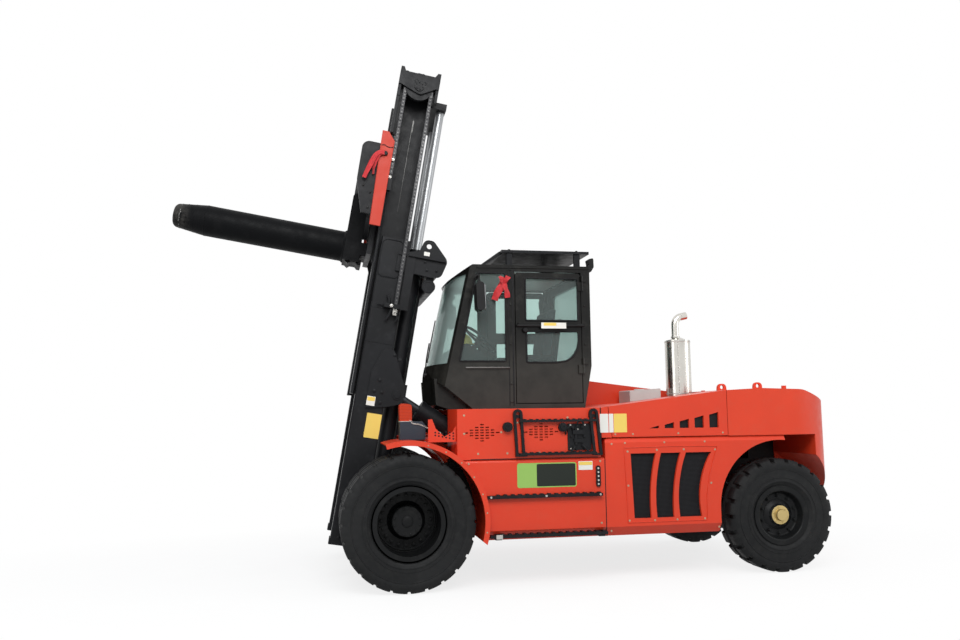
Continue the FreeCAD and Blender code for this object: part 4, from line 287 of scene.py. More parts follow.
# a woven wire screen: dark holes between crossing wires
n = begin("screen", "dark_paint", "wire_screen")
x, _, z = n.split()
hole = n.ramp(n.math("MINIMUM", n.waves(x, 0.024), n.waves(z, 0.024)), 0.35, 0.55)
n.set(Base_Color=n.mix(hole, (0.018, 0.019, 0.022), (0.0015, 0.0015, 0.0015)),
      Roughness=n.ramp(hole, 0, 1, 0.42, 0.8), Specular_IOR_Level=0.15)
n.bump(n.math("SUBTRACT", 1.0, hole), 0.8, 0.004)

# the muffler's polished shield, with every fourth column of small holes punched
n = begin("chrome", "bright_steel", "punched_chrome")
x, y, z = n.split()
centre = middle("exhaust_muffler")
turn = n.math("ARCTAN2", n.math("SUBTRACT", y, centre.y), n.math("SUBTRACT", x, centre.x))
column, row = n.math("MULTIPLY", turn, 40 / (2 * pi)), n.math("DIVIDE", z, 0.0165)
a, b = (n.math("SUBTRACT", n.math("FRACT", part), 0.5) for part in (column, row))
reach = n.math("SQRT", n.math("ADD", n.math("MULTIPLY", a, a), n.math("MULTIPLY", b, b)))
every = n.math("GREATER_THAN", n.math("FRACT", n.math("DIVIDE", n.math("FLOOR", column), 4.0)), 0.7)
dot = n.math("MULTIPLY", n.ramp(reach, 0.17, 0.24, 1.0, 0.0), every)
n.set(Base_Color=n.mix(dot, n.mix(n.cloud(4.0, 3), (0.58, 0.56, 0.52), (0.7, 0.68, 0.63)), (0.03, 0.03, 0.03)),
      Roughness=n.cloud(30.0, 4, 0.16, 0.28), Metallic=1.0)
n.bump(n.math("SUBTRACT", 1.0, dot), 0.5, 0.002)

# green-tinted cab glass: mostly clear, with a mirror film that grows towards grazing angles
n = begin("glass", "glass", "tinted_glass")
tint = n.mix(n.cloud(1.2, 2), (0.78, 0.87, 0.85), (0.82, 0.9, 0.88))
n.set(Base_Color=tint, Roughness=0.04)
fresnel = n.new("Fresnel", 1.35).outputs[0]
n.blend(n.math("ADD", n.math("MULTIPLY", fresnel, 0.55), 0.05), n.new("BsdfTransparent", tint), n.shader)

n = begin("amber", "amber_plastic", "amber_lens")
ribs = n.waves(n.split()[2], 0.028)
n.set(Base_Color=n.mix(ribs, (0.34, 0.018, 0.004), (0.52, 0.04, 0.007)), Roughness=0.28, Coat_Weight=0.05,
      Specular_IOR_Level=0.2)
n.bump(ribs, 0.35, 0.003)

n = begin("ribbon", "seat_cloth", "red_ribbon_cloth")
n.set(Base_Color=n.mix(n.cloud(40.0, 5), (0.4, 0.006, 0.01), (0.56, 0.013, 0.018)), Roughness=0.7, Sheen_Weight=0.3)
n.bump(n.noise(220.0, 2), 0.3, 0.0006)

FINISH = {  # the looks of the CAD nodes, by how their names start
    "red": "hood_lid engine_hood side_panels side_boxes side_tanks front_fenders", "guard": "side_guards",
    "red_cast": "counterweight", "black": "cab_shell cab_roof cab_door", "ram": "coil_ram", "post": "lamp_posts",
    "mast": "outer_mast inner_mast carriage lift_cylinders tilt_barrels boarding_frame side_steps control_valve "
            "roof_guard chain_sheaves",
    "chassis": "chassis_frame front_axle steer_axle knuckle", "wheel": "front_rims rear_rim",
    "plastic": "dash_console steering_wheel seat_frame mirrors work_lamps", "engine": "engine_block",
    "grey": "air_box", "chrome": "exhaust_muffler", "rod": "lift_rods", "rod_dark": "tilt_rods",
    "chain": "lift_chains", "screen": "side_grilles", "glass": "cab_glass door_glass", "amber": "turn_lamps",
    "seat": "seat_pads", "tyre": "front_tyres rear_tyre"}
for look, starts in FINISH.items():
    for name in nodes:
        if name.startswith(tuple(starts.split())):
            nodes[name].data.materials.clear()
            nodes[name].data.materials.append(LOOKS[look])


# ---- Shapes ----
def link(name, data):
    """A new object in the scene."""
    thing = bpy.data.objects.new(name, data)
    bpy.context.collection.objects.link(thing)
    return thing


def frame_of(axis, spin=0.0):
    """A rotation whose Z lies along an axis."""
    axis = V(axis).normalized()
    x = (Z if abs(axis.z) < 0.9 else X).cross(axis).normalized()
    return Matrix((x, axis.cross(x), axis)).transposed().to_4x4() @ Matrix.Rotation(spin, 4, "Z")


def smooth_line(points, steps, closed=False):
    """Points along a Catmull-Rom line through the given ones."""
    points = list(points)
    if closed:
        ends = points[-1:] + points + points[:2]
    else:
        ends = [points[0] * 2 - points[1]] + points + [points[-1] * 2 - points[-2]]
    line = []
    for before, start, end, after in zip(ends, ends[1:], ends[2:], ends[3:]):
        for s in (step / steps for step in range(steps)):
            line.append(0.5 * (2 * start + (end - before) * s + (2 * before - 5 * start + 4 * end - after) * s ** 2
                               + (3 * start - before - 3 * end + after) * s ** 3))
    return line if closed else line + points[-1:]


def rounded(width, height, radius, steps=6):
    """A rectangle with rounded corners, centred, as (a, b) points."""
    return [(a * (width / 2 - radius) + radius * cos(turn), b * (height / 2 - radius) + radius * sin(turn))
            for quarter, (a, b) in enumerate(((1, 1), (-1, 1), (-1, -1), (1, -1)))
            for turn in (pi / 2 * (quarter + step / steps) for step in range(steps + 1))]


def spread(count, shift=0.0):
    """Directions spread evenly around an axle."""
    for index in range(count):
        turn = 2 * pi * (index + shift) / count
        yield V((cos(turn), 0, sin(turn)))


WAITING = []


class Piece:
    """Gathers small shapes into one mesh that rides on one body. It waits until the end, unless it's done before."""

    def __init__(self, name, look, body="truck"):
        self.name, self.look, self.body = name, look, body
        self.mesh = bmesh.new()
        WAITING.append(self)

    def ring(self, points):
        return [self.mesh.verts.new(point) for point in points]

    def skin(self, rings, around=True, along=False, order=1):
        """Joins rings, or end points, into a surface closed around them and, if asked, from the last to the first."""
        for first, second in zip(rings, rings[1:] + rings[:1] * along):
            sides = max(len(first), len(second))
            for index in range(sides - (not around) if sides > 1 else 0):
                turns = (first, index), (first, index + 1), (second, index + 1), (second, index)
                corners = dict.fromkeys(ring[step % sides % len(ring)] for ring, step in turns)
                self.mesh.faces.new(list(corners)[::order])

    def solid(self, rings):
        """Joins rings and closes both ends."""
        self.skin(rings)
        self.mesh.faces.new(rings[0][::-1])
        self.mesh.faces.new(rings[-1])

    def block(self, low, high, place):
        """A block between two corners of a local frame."""
        xs, ys, zs = zip(low, high)
        made = self.ring([place @ mm(x, y, z) for x in xs for y in ys for z in zs])
        for face in ((0, 1, 3, 2), (4, 6, 7, 5), (0, 4, 5, 1), (2, 3, 7, 6), (0, 2, 6, 4), (1, 5, 7, 3)):
            self.mesh.faces.new([made[index] for index in face])

    def rod(self, start, end, radius, sides=16):
        long = (end - start).length * 1000
        self.lathe(start, end - start, [(0, 0), (0, radius), (long, radius), (long, 0)], sides)

    def lathe(self, origin, axis, profile, sides=32, spin=0.0):
        """A profile of (distance along the axis, radius) turned about it."""
        place = Matrix.Translation(origin) @ frame_of(axis, spin)
        turns = [2 * pi * index / sides for index in range(sides)]
        self.skin([self.ring([place @ mm(radius * cos(turn), radius * sin(turn), along)
                              for turn in (turns if radius else [0])]) for along, radius in profile], order=-1)

    def cap(self, spot, axis, *steps, sides=24):
        """A low boss on a face: (distance, radius) steps turned about its axis, and closed at its end."""
        self.lathe(spot, axis, [*steps, (steps[-1][0], 0)], sides)

    def bolt(self, spot, axis, radius, height):
        """A hexagon head on a washer."""
        self.cap(spot, axis, (0, radius * 1.45), (1.8, radius * 1.45), sides=12)
        top = 1.6 + height
        self.lathe(spot, axis, [(1.6, radius), (top, radius), (top + 1, radius * 0.86), (top + 1, 0)], 6,
                   random.random())

    def stud(self, spot, axis, radius):
        self.lathe(spot, axis, [(0, radius), (3, radius - 2), (4, 0)], 12)

    def tube(self, points, radius, sides=10, closed=False, steps=6):
        """A round bar along a smooth line through the points."""
        path = smooth_line(points, steps, closed) if steps else points
        count = len(path)
        rings, last = [], None
        for index, point in enumerate(path):
            ahead = path[(index + 1) % count] if closed or index + 1 < count else point
            behind = path[index - 1] if closed or index else point
            along = (ahead - behind).normalized()
            last = (last - along * last.dot(along)).normalized() if last else frame_of(along).to_3x3().col[0]
            other = along.cross(last)
            turns = (2 * pi * step / sides for step in range(sides))
            rings.append(self.ring([point + last * (radius / 1000 * cos(turn)) + other * (radius / 1000 * sin(turn))
                                    for turn in turns]))
        if closed:
            self.skin(rings, along=True)
        else:
            self.solid(rings)

    def plate(self, outline, thick, place):
        """An outline in a local XY plane, given a thickness along local Z."""
        low, high = (self.ring([place @ mm(a, b, c) for a, b in outline]) for c in (0, thick))
        self.mesh.faces.new(low[::-1])
        self.mesh.faces.new(high)
        self.skin([low, high])

    def done(self, *replaced, slot=None, sharp=38, finish=None):
        """Makes the object, smooth up to an angle in degrees; a sheet has no such angle."""
        WAITING.remove(self)
        if sharp:
            bmesh.ops.recalc_face_normals(self.mesh, faces=self.mesh.faces[:])
        data = bpy.data.meshes.new(self.name)
        self.mesh.to_mesh(data)
        self.mesh.free()
        thing = link(self.name, data)
        data.materials.append(LOOKS[finish or self.look])
        data.shade_smooth()
        if sharp:
            data.set_sharp_from_angle(angle=radians(sharp))
        if self.body:
            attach(thing, self.body)
        if replaced:
            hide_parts(*replaced)
        return thing


# ---- Wheels ----
def tyres(name, node, body, centres, radius, seat, flange, count, depth, width, reach, ribs):
    """Tyres with lugs cut into both shoulders and rings moulded round the sidewalls."""
    piece = Piece(name, "tyre", body)
    bead, half = 125, 157  # half widths at the rim and over the walls
    edge = 0.004  # half the angle that a lug's flank takes up
    wall = half - 4.5
    side = [(bead, seat), (bead, flange + 4), (half - 12, flange + 30)]
    for ring, wide, proud in ribs:
        side += [(wall, ring - wide), (wall + proud, ring - wide / 2), (wall + proud, ring + wide / 2),
                 (wall, ring + wide)]
    side += [(half, radius - 75), (half - 4, radius - 48), (half - 20, radius - 12), (half - 34, radius - 1.5),
             (half - reach * 0.8, radius), (half - reach, radius)]
    right = side + [(30, radius), (22, radius - 12), (8, radius - 12), (0, radius)]
    crown = [(-a, b) for a, b in right] + right[-2::-1]
    groove = [(a, radius - depth - 2 * (abs(a) > half - 20))
              if abs(a) > half - reach - 1 and b > radius - depth else (a, b) for a, b in crown]
    cut, pitch = width / radius, 2 * pi / count
    stops = []
    for start in (index * pitch - cut / 2 for index in range(count)):
        stops += [(start - edge, crown), (start + edge, groove), (start + cut - edge, groove),
                  (start + cut + edge, crown)]
        stops += [(start + cut + (pitch - cut) * part / 5, crown) for part in range(1, 5)]
    for centre in centres:
        piece.skin([piece.ring([centre + mm(b * cos(angle), a, b * sin(angle)) for a, b in outline])
                    for angle, outline in stops], along=True)
    piece.done(node)


for side, sign, out in SIDES:
    axle = V((AXLE.x, 0, FRONT_R / 1000))
    body = f"front_wheels_{side}"
    hubs = [axle + out * (y / 1000) for y in FRONT_Y]
    tyres(f"front_tread_{side}", f"front_tyres_{side}", body, hubs, FRONT_R, 305, 345, 24, 22, 30, 52,
          [(392, 10, 4), (425, 5, 4), (520, 6, 4)])
    trim = Piece(f"front_wheel_trim_{side}", "wheel", body)
    for hub in hubs:
        trim.lathe(hub + out * 0.1385, out, [(-20, 333.5), (-4, 345.5), (1.5, 345), (1.5, 332.5), (-12, 328.5),
                                             (-20, 333.5)], 72)
        trim.lathe(hub + out * 0.136, out, [(-20, 300), (2, 304), (4, 309), (2, 313), (-20, 313)], 72)
    trim.lathe(axle + out * 0.9485, out, [(0, 284), (10, 278), (10, 262), (0, 258)], 64)
    trim.lathe(axle + out * 1.0745, out, [(0, 138), (1.2, 138), (1.2, 104), (0, 103)], 48)
    for index in range(5):
        trim.block((-20, -4, 180), (20, 12, 272), Matrix.Translation(axle + out * 0.95)
                   @ Matrix.Rotation(-2 * pi * (index + 0.5) / 5, 4, "Y"))
    nuts = Piece(f"front_wheel_nuts_{side}", "steel", body)
    for around in spread(20):
        nuts.bolt(axle + out * 0.9486 + around * 0.232, out, 15.5, 20)
    nuts.done(slot="dark_paint", finish="wheel")
    caps = Piece(f"front_hub_bolts_{side}", "wheel", body)
    for around in spread(12, 0.5):
        caps.bolt(axle + out * 1.0745 + around * 0.121, out, 10, 9)
    caps.cap(axle + out * 1.0745, out, (0, 52), (10, 50), (14, 42), sides=32)

    rear = V((REAR.x, sign * REAR_Y / 1000, REAR_R / 1000))
    body = f"rear_wheel_{side}"
    tyres(f"rear_tread_{side}", f"rear_tyre_{side}", body, [rear], REAR_R, 254, 292, 22, 34, 44, 88,
          [(338, 9, 4), (372, 5, 4), (455, 6, 4)])
    trim = Piece(f"rear_wheel_trim_{side}", "wheel", body)
    trim.lathe(rear + out * 0.1385, out, [(-20, 281), (-4, 292.5), (1.3, 292), (1.3, 280), (-12, 275),
                                          (-20, 281)], 64)
    trim.lathe(rear + out * 0.0596, out, [(0, 158), (4, 156), (4, 150), (0, 148)], 48)
    for around in spread(10, 0.5):
        trim.bolt(rear + out * 0.0598 + around * 0.183, out, 14.5, 20)
        trim.rod(rear + out * 0.08 + around * 0.183, rear + out * 0.093 + around * 0.183, 8.5, 10)
    for around in spread(12):
        trim.bolt(rear + out * 0.095 + around * 0.1045, out + around * 0.35, 7.5, 7)
    cap = Piece(f"rear_hub_cap_{side}", "brass", body)
    cap.cap(rear + out * 0.1098, out, (0, 93.5), (3, 93), (4, 89), (4, 60), (6, 58.8), (36, 55.5), (40.8, 52),
            (41.2, 46), sides=48)
    for around in spread(6, 0.25):
        cap.bolt(rear + out * 0.1136 + around * 0.0765, out, 6.2, 5)

# ---- Lift chains and their anchors ----
PITCH, CHAIN_WIDE, LINK_TALL, LANES = 38.1, 34, 35.5, 5
CHAIN_Y, SHEAVE_V, SHEAVE_U, SHEAVE_R = 620, 332, 4385, 118 + 18  # the radius at the middle of the chain


def leaf_chain(run, side, body, path, across):
    """Overlapping link plates, and their pins, along a line of pin centres in one upright plane."""
    links, pins = Piece(f"chain_{run}_{side}", "chain", body), Piece(f"chain_{run}_pins_{side}", "pin", body)
    lane = CHAIN_WIDE / LANES
    for index, (a, b) in enumerate(zip(path, path[1:])):
        along = (b - a).normalized()
        outline = [(end * (b - a).length * 1000 + LINK_TALL / 2 * cos(turn), LINK_TALL / 2 * sin(turn))
                   for end, first in ((1, -pi / 2), (0, pi / 2))
                   for turn in (first + pi * step / 5 for step in range(6))]
        for number in range(index % 2, LANES, 2):
            low = -CHAIN_WIDE / 2 + number * lane + 0.4
            links.plate(outline, lane - 0.8, local(a + across * (low / 1000), along, across.cross(along), across))
    reach = across * (CHAIN_WIDE / 2000 + 0.0015)
    for point in path:
        pins.rod(point - reach, point + reach, LINK_TALL * 0.17, 8)
    return links.done("lift_chains"), pins.done("lift_chains")


for side, sign, out in SIDES:
    y = sign * CHAIN_Y
    for run, v, low_u, low_body in (("rear", SHEAVE_V - SHEAVE_R, 2106, "mast"),
                                    ("front", SHEAVE_V + SHEAVE_R, 3407, "carriage")):
        foot, top = M(v, low_u, y), M(v, SHEAVE_U, y)
        count = round((top - foot).length * 1000 / PITCH)
        for thing in leaf_chain(run, side, None, [foot.lerp(top, step / count) for step in range(count + 1)], out):
            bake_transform(thing)
    leaf_chain("wrap", side, "mast_stage", [
        M(SHEAVE_V, SHEAVE_U, y) + (UPWARD * sin(turn) - FORWARD * cos(turn)) * (SHEAVE_R / 1000)
        for turn in (pi * step / 11 for step in range(12))], out)

    anchors = Piece(f"chain_anchor_bolts_{side}", "steel", "mast")
    for v in (185, 207):
        anchors.rod(M(v, 2000, y), M(v, 2100, y), 10, 12)
    for u in (2040, 2008):
        anchors.bolt(M(190, u, y), -UPWARD, 22, 18)
    anchors.bolt(M(238, 2078, y + sign * 32), out, 12, 10)
    stay = Piece(f"chain_anchor_stay_{side}", "mast", "mast")
    for radius, *line in ((13, (292, 2190, 20), (270, 2150, 10), (262, 2102, 0)),
                          (15, (232, 2052, 0), (244, 1990, 6), (268, 1935, 24)),
                          (13, (172, 2000, 0), (160, 1960, 0), (176, 1925, 10))):
        stay.tube([M(v, u, y - sign * inward) for v, u, inward in line], radius, 8)
    stay.block((-50, -8, 0), (50, 8, 8), mast_place(330, 2088, CHAIN_Y - 30, sign))
    ends = Piece(f"chain_end_bolts_{side}", "steel", "carriage")
    ends.rod(M(468, 3330, y), M(468, 3408, y), 13, 12)
    for u in (3564, 3377):
        ends.rod(M(474, u - 16, y + sign * 22), M(474, u + 16, y + sign * 22), 12, 12)
        ends.bolt(M(474, u, y + sign * 30), out, 11, 11)
    Piece(f"chain_yoke_{side}", "mast", "carriage").block(
        (-20, -22, -35), (20, 22, 35), Matrix.Translation(M(468, 3382, y)) @ frame_of(UPWARD))

# ---- Mast ----
for side, sign, out in SIDES:
    face = sign * MAST
    trim = Piece(f"mast_fasteners_{side}", "mast", "mast")
    for v, u, size in ((186, 1110, 15), (186, 1215, 15), (262, 1215, 15), (225, 1330, 15), (60, 1560, 13),
                       (120, 1600, 13), (-60, 2510, 12), (-160, 2520, 12), (-30, 2590, 12)):
        trim.bolt(M(v, u, sign * BRACKET), out, size, 12)
    for v, u in ((170, -190), (230, -215), (300, -230), (365, -235)):
        trim.bolt(M(v, u, face), out, 13, 10)
    trim.cap(M(0, 0, face), out, (0, 85), (10, 82), (10, 30), (16, 28), sides=40)
    trim.cap(M(30, 1210, sign * (BRACKET - 1)), out, (0, 52), (8, 50), (8, 34), (14, 32), sides=32)
    place = mast_place(318, 2565, MAST, sign)
    trim.tube([place @ mm(a, b, 3) for a, b in rounded(220, 390, 60)], 5, 6, closed=True, steps=0)
    for u in (1700, 2050, 2380):
        trim.block((-150, -3, 0), (150, 3, 4), mast_place(290, u, MAST, sign))
    for v, high, low in ((436, 2690, 700), (146, 2050, 1680)):
        trim.rod(M(v, high, face + sign * 2), M(v, low, face + sign * 2), 4.5, 8)
    trim.cap(M(-106, 2350, face), out, (0, 68), (4, 64), (4, 46), (-10, 42), sides=40)

    rail = Piece(f"stage_fasteners_{side}", "mast", "mast_stage")
    for v, u in ((372, 4440), (282, 4424)):
        rail.cap(M(v, u, sign * 664), out, (0, 21), (5, 19), (5, 12), (1, 10), sides=20)
    for step in range(6):
        turn = pi * (0.15 + step / 3.2)
        rail.bolt(M(SHEAVE_V + 36 * cos(turn), SHEAVE_U + 36 * sin(turn), sign * 675), out, 6, 5)
    rail.rod(M(470, 4250, sign * 563), M(470, 1800, sign * 563), 4, 8)

    pipe = Piece(f"mast_hoses_{side}", "hose", "mast")
    for offset, low in ((0, 420), (26, 420), (52, 520)):
        v, y = -58 + offset * 0.3, sign * (214 - offset)
        pipe.tube([M(v + 6, low, y + sign), M(v, 1000, y), M(v, 2480, y)], 11, 8, steps=3)
    pipe.tube([M(v, u, sign * y) for v, u, y in ((50, 2700, 245), (20, 2760, 228), (-30, 2700, 214),
                                                 (-50, 2500, 213))], 12)
    Piece(f"mast_fittings_{side}", "steel", "mast").cap(M(50, 2690, sign * 252), -out, (0, 20), (14, 20), sides=6)

# the hose track up the inside of the stage, with its guide strips, and the caps over the lift rods
track = Piece("stage_hoses", "hose", "mast_stage")
for y in (-70, -44, -18, 18, 44, 70):
    track.tube([M(205, 4330, y), M(196, 4200, y), M(196, 3150, y)], 9.5, 8, steps=3)
strips = Piece("stage_hose_guides", "mast", "mast_stage")
for u in (3250, 3600, 3950, 4250):
    strips.block((-4, -25, -110), (12, 25, 110), mast_place(184, u, 0))
for side, sign, out in SIDES:
    Piece(f"rod_end_caps_{side}", "plastic", "mast_stage").cap(
        M(50, 4347, sign * 325), UPWARD, (0, 50), (12, 50), (12, 34), (30, 30))

# scratches left by the rollers on the rails' faces
marks = Piece("rail_wear_marks", "worn", "mast_stage")
for sign in (1, -1):
    for v, u, long, wide in ((325, 3640, 900, 3), (318, 4030, 130, 9), (326, 3300, 420, 2)):
        marks.block((-wide / 2, -long / 2, 0), (wide / 2, long / 2, 0.6), mast_place(v, u, 430.5, sign))

# carriage guards: the folded edges, the seam with its knob, and the bolts
for side, sign, out in SIDES:
    guard = Piece(f"guard_edges_{side}", "guard", "carriage")
    for low, high in (((489, 2856), (489, 3740)), ((593, 2856), (617, 3655))):
        guard.rod(M(*low, sign * 679), M(*high, sign * 679), 3, 8)
    seam = Piece(f"guard_seam_{side}", "plastic", "carriage")
    seam.tube([M(v, u, sign * 680) for v, u in ((492, 3676), (540, 3671), (582, 3686), (617, 3675))], 5, 6)
    seam.cap(M(558, 3599, sign * 680), out, (0, 24), (14, 24), (20, 18))
    for v, u in ((640, 3020), (640, 3180), (720, 3240)):
        seam.bolt(M(v, u, sign * 650), out, 11, 8)

# the ram: a weld round the nose cap, wear bands, and the heel weld
RAM_R, TAPER_FROM, TAPER_LONG, TAPER_IN, WELD = 161, 1444, 330, 43, 1700  # along the ram, from its root
root = M(800, 2710, 0)


def taper(along):
    """The ram's radius at a distance along it."""
    return RAM_R - max(0, along - TAPER_FROM) * TAPER_IN / TAPER_LONG


ram = Piece("ram_bands", "ram", "carriage")
for along, proud in ((1446, 1), (1560, 0.8), (1640, 0.8)):
    ram.lathe(root + FORWARD * (along / 1000), FORWARD, [
        (-6, taper(along)), (-2, taper(along) + proud * 2), (2, taper(along) + proud * 2), (6, taper(along + 4))], 48)
ram.lathe(root + FORWARD * 0.001, FORWARD, [(0, 178), (8, 174), (18, 164), (22, 161.2)], 64)
weld = Piece("ram_nose_weld", "worn", "carriage")
for step in range(40):
    turn = 2 * pi * step / 40 + random.uniform(-0.03, 0.03)
    if random.random() < 0.45:
        continue
    around = Y * cos(turn) + UPWARD * sin(turn)
    spot = root + FORWARD * (WELD / 1000 + random.uniform(-0.003, 0.003)) + around * (taper(WELD) / 1000 + 0.0006)
    weld.block((-4, -7, -1), (4, 7, 1), Matrix.Translation(spot) @ frame_of(around))


# ---- Cloth ribbons tied to the guard and the cab's pillar ----
def ribbon(name, body, rests, width, twist, *points):
    """A strip of cloth along a line, turning as it hangs."""
    line = smooth_line(points, 10)
    piece = Piece(name, "ribbon", body)
    rows = []
    for index, point in enumerate(line):
        s = index / (len(line) - 1)
        along = (line[min(index + 1, len(line) - 1)] - line[max(index - 1, 0)]).normalized()
        angle = twist[0] + (twist[1] - twist[0]) * s + 0.22 * sin(9 * s)
        side = Matrix.Rotation(angle, 3, along) @ Y.cross(along).normalized()
        rows.append(piece.ring([point + side * ((step / 6 - 0.5) * width / 1000) + side.cross(along) *
                                (0.0035 * sin(step * 1.9 + s * 7)) for step in range(7)]))
    piece.skin(rows, around=False)
    thing = piece.done(sharp=None)


GUARD_KNOT, PILLAR_KNOT, BOW_KNOT = M(568, 3600, 702), T(-1012, 764, 2930), T(-1014, 768, 2918)
ribbon("guard_ribbon_long", "carriage", "side_guards", 50, (0.15, 0.3), GUARD_KNOT, M(612, 3598, 706),
       M(652, 3553, 706), M(684, 3461, 704), M(708, 3377, 702), M(728, 3305, 698))
ribbon("guard_ribbon_short", "carriage", "side_guards", 44, (0.5, 0.9), M(566, 3592, 696), M(612, 3578, 696),
       M(640, 3510, 690), M(645, 3434, 686), M(643, 3363, 682))
ribbon("pillar_ribbon_front", "truck", "cab_shell", 74, (0.2, 0.4), PILLAR_KNOT, T(-985, 780, 2880),
       T(-945, 784, 2815), T(-915, 776, 2742))
ribbon("pillar_ribbon_rear", "truck", "cab_shell", 60, (-0.2, -0.4), PILLAR_KNOT, T(-1024, 782, 2884),
       T(-1040, 786, 2830), T(-1050, 778, 2768))
ribbon("pillar_ribbon_bow_front", "truck", "cab_shell", 58, (0.3, 0.5), BOW_KNOT, T(-1004, 782, 2940),
       T(-986, 788, 2962), T(-968, 784, 2984))
ribbon("pillar_ribbon_bow_rear", "truck", "cab_shell", 54, (-0.3, -0.5), BOW_KNOT, T(-1028, 784, 2942),
       T(-1046, 790, 2964), T(-1062, 784, 2986))


# ---- Bodywork: blank labels first ----
def plate(name, tint, x, z, width, height, radius=6, y=PANEL + FILM, body="truck"):
    """A blank rounded label on the left side of the truck."""
    Piece(name, "plate_" + tint, body).plate(rounded(width, height, radius, 4), 1.2, side_place(x, y, z))


def mast_plate(name, tint, v, u, width, height, thick=1.2, radius=6, y=BRACKET + FILM):
    Piece(name, "plate_" + tint, "mast").plate(rounded(width, height, radius, 4), thick, mast_place(v, u, y))


plate("tank_label_ground", "green", -1311, 1022, 580, 230, 22)
plate("tank_label_field", "dark", -1401, 1022, 380, 208, 12, PANEL + OVER)
plate("tank_label_small", "white", -1693, 1102, 140, 82)
plate("tank_label_small_band", "yellow", -1693, 1122, 132, 30, y=PANEL + OVER)
plate("hood_label_front", "white", -1890, 1500, 86, 180, 4)
plate("hood_label_middle", "white", -1962, 1500, 44, 180, 4, body="lid_left")
plate("hood_label_rear", "yellow", -2055, 1500, 132, 180, 4, body="lid_left")
plate("door_label", "white", -1521, 2486, 262, 60, 4, DOOR + FILM, body="door_left")
plate("door_label_band", "yellow", -1482, 2499, 130, 30, 3, DOOR + OVER, body="door_left")
mast_plate("mast_label_high", "white", 278, 1113, 84, 92)
mast_plate("mast_label_high_band", "yellow", 278, 1133, 76, 40, 2.2)
mast_plate("mast_label_tall", "yellow", 217, 873, 147, 243, y=MAST + FILM)
mast_plate("tail_label", "white", -35, 2676, 60, 40, radius=5)

pins = Piece("panel_fasteners", "stud")
for sign in (1, -1):
    for radius, *spots in (
            (11, (-874, 1429), (-650, 1232), (-1032, 1516), (-1525, 1559), (-520, 1590), (-520, 1420), (-930, 1232),
             (-1240, 1232)),
            (10, (-2095, 1308), (-2923, 1308), (-1960, 1300), (-1935, 480), (-3040, 480), (-2500, 1308)),
            (11, (-2120, 1225), (-2420, 1235), (-2700, 1235), (-3030, 1228), (-2118, 900), (-2120, 570), (-2378, 565),
             (-2608, 565), (-2895, 565), (-2975, 905), (-560, 1140), (-560, 700), (-1840, 1140), (-1840, 560))):
        for x, z in spots:
            pins.stud(T(x, sign * PANEL, z), Y * sign, radius)
for side, sign, out in SIDES:
    edge = Piece(f"lid_fasteners_{side}", "stud", f"lid_{side}")
    for x in (-2180, -3120, -2650, -2000):
        edge.stud(T(x, sign * PANEL, 1392), out, 10)
    # a dark sheet behind each lid's vents: painted shade for the hood's interior under the lid
    Piece(f"vent_shade_sheet_{side}", "gasket", f"lid_{side}").block(
        (-372, -82, 0), (372, 82, 3), side_place(-2717, 1171, 1518, sign))
    Piece(f"grille_rim_{side}", "red").tube(
        [T(x, sign * (PANEL + BEAD), z) for x, z in (
        (-2105, 552), (-2098, 900), (-2085, 1262), (-2560, 1268), (-3050, 1262), (-3010, 1140), (-2960, 980),
        (-2928, 800), (-2918, 552))], 5, 8, closed=True, steps=0)
    lines = Piece(f"panel_gaps_{side}", "gasket")
    for x, z, low, high in ((-1888, 815, (-4, -380, 0), (4, 335, 1.2)), (-1856, 1505, (-4, -140, 0), (4, 148, 1.2)),
                            (-1200, 1180, (-620, -3.5, 0), (620, 3.5, 1.2))):
        lines.block(low, high, side_place(x, PANEL, z, sign))
    fender = Piece(f"fender_fasteners_{side}", "stud")
    for turn in (radians(degrees) for degrees in range(104, 189, 14)):
        around = V((cos(turn), 0, sin(turn)))
        fender.lathe(T(0, sign * 1268.5, FRONT_R) + around * 0.722, out, [(-2, 8), (1.2, 7), (1.8, 0)], 10)

# level gauge, with its dots
Piece("level_gauge", "plastic").plate(rounded(44, 200, 20), 16, side_place(-1815, PANEL, 1000))
dots = Piece("level_gauge_dots", "wire")
for z in (926, 962, 1000, 1038, 1074):
    dots.cap(T(-1815, PANEL + 16, z), Y, (0, 9), (1, 8), sides=14)

# the fittings of the valve stack behind the boarding frame
STACK = 1212
valve = Piece("valve_fittings", "mast")
for x, z, radius, long in ((-1660, 1470, 17, 30), (-1610, 1478, 14, 24), (-1570, 1460, 16, 30),
                           (-1665, 1290, 15, 28), (-1575, 1280, 17, 30), (-1600, 1256, 12, 20),
                           (-1680, 1380, 12, 26), (-1550, 1380, 12, 22)):
    neck = radius / 1.4
    valve.cap(T(x, STACK, z), Y, (0, radius), (long / 2, radius), (long / 2, neck), (long, neck), sides=8)
for radius, *line in (
        (8.5, (-1660, 1236, 1470), (-1664, 1246, 1510), (-1630, 1244, 1530), (-1608, 1232, 1500)),
        (8.5, (-1665, 1236, 1290), (-1690, 1244, 1260), (-1720, 1236, 1236), (-1745, 1206, 1228)),
        (8.5, (-1575, 1238, 1280), (-1556, 1246, 1250), (-1525, 1236, 1230), (-1500, 1206, 1222)),
        (7.5, (-1570, 1238, 1460), (-1530, 1244, 1474), (-1500, 1230, 1440), (-1502, 1206, 1400))):
    valve.tube([T(*spot) for spot in line], radius, 8)
valve.block((-55, -20, 0), (55, 20, 22), side_place(-1620, STACK, 1420))
valve.block((-45, -16, 0), (45, 16, 22), side_place(-1622, STACK, 1340))
for x, z in ((-930, 1478), (-1470, 1468)):
    valve.cap(T(x, 1236, z), Y, (0, 30), (10, 28), (10, 14), (6, 12), sides=20)
nuts = Piece("valve_nuts", "steel")
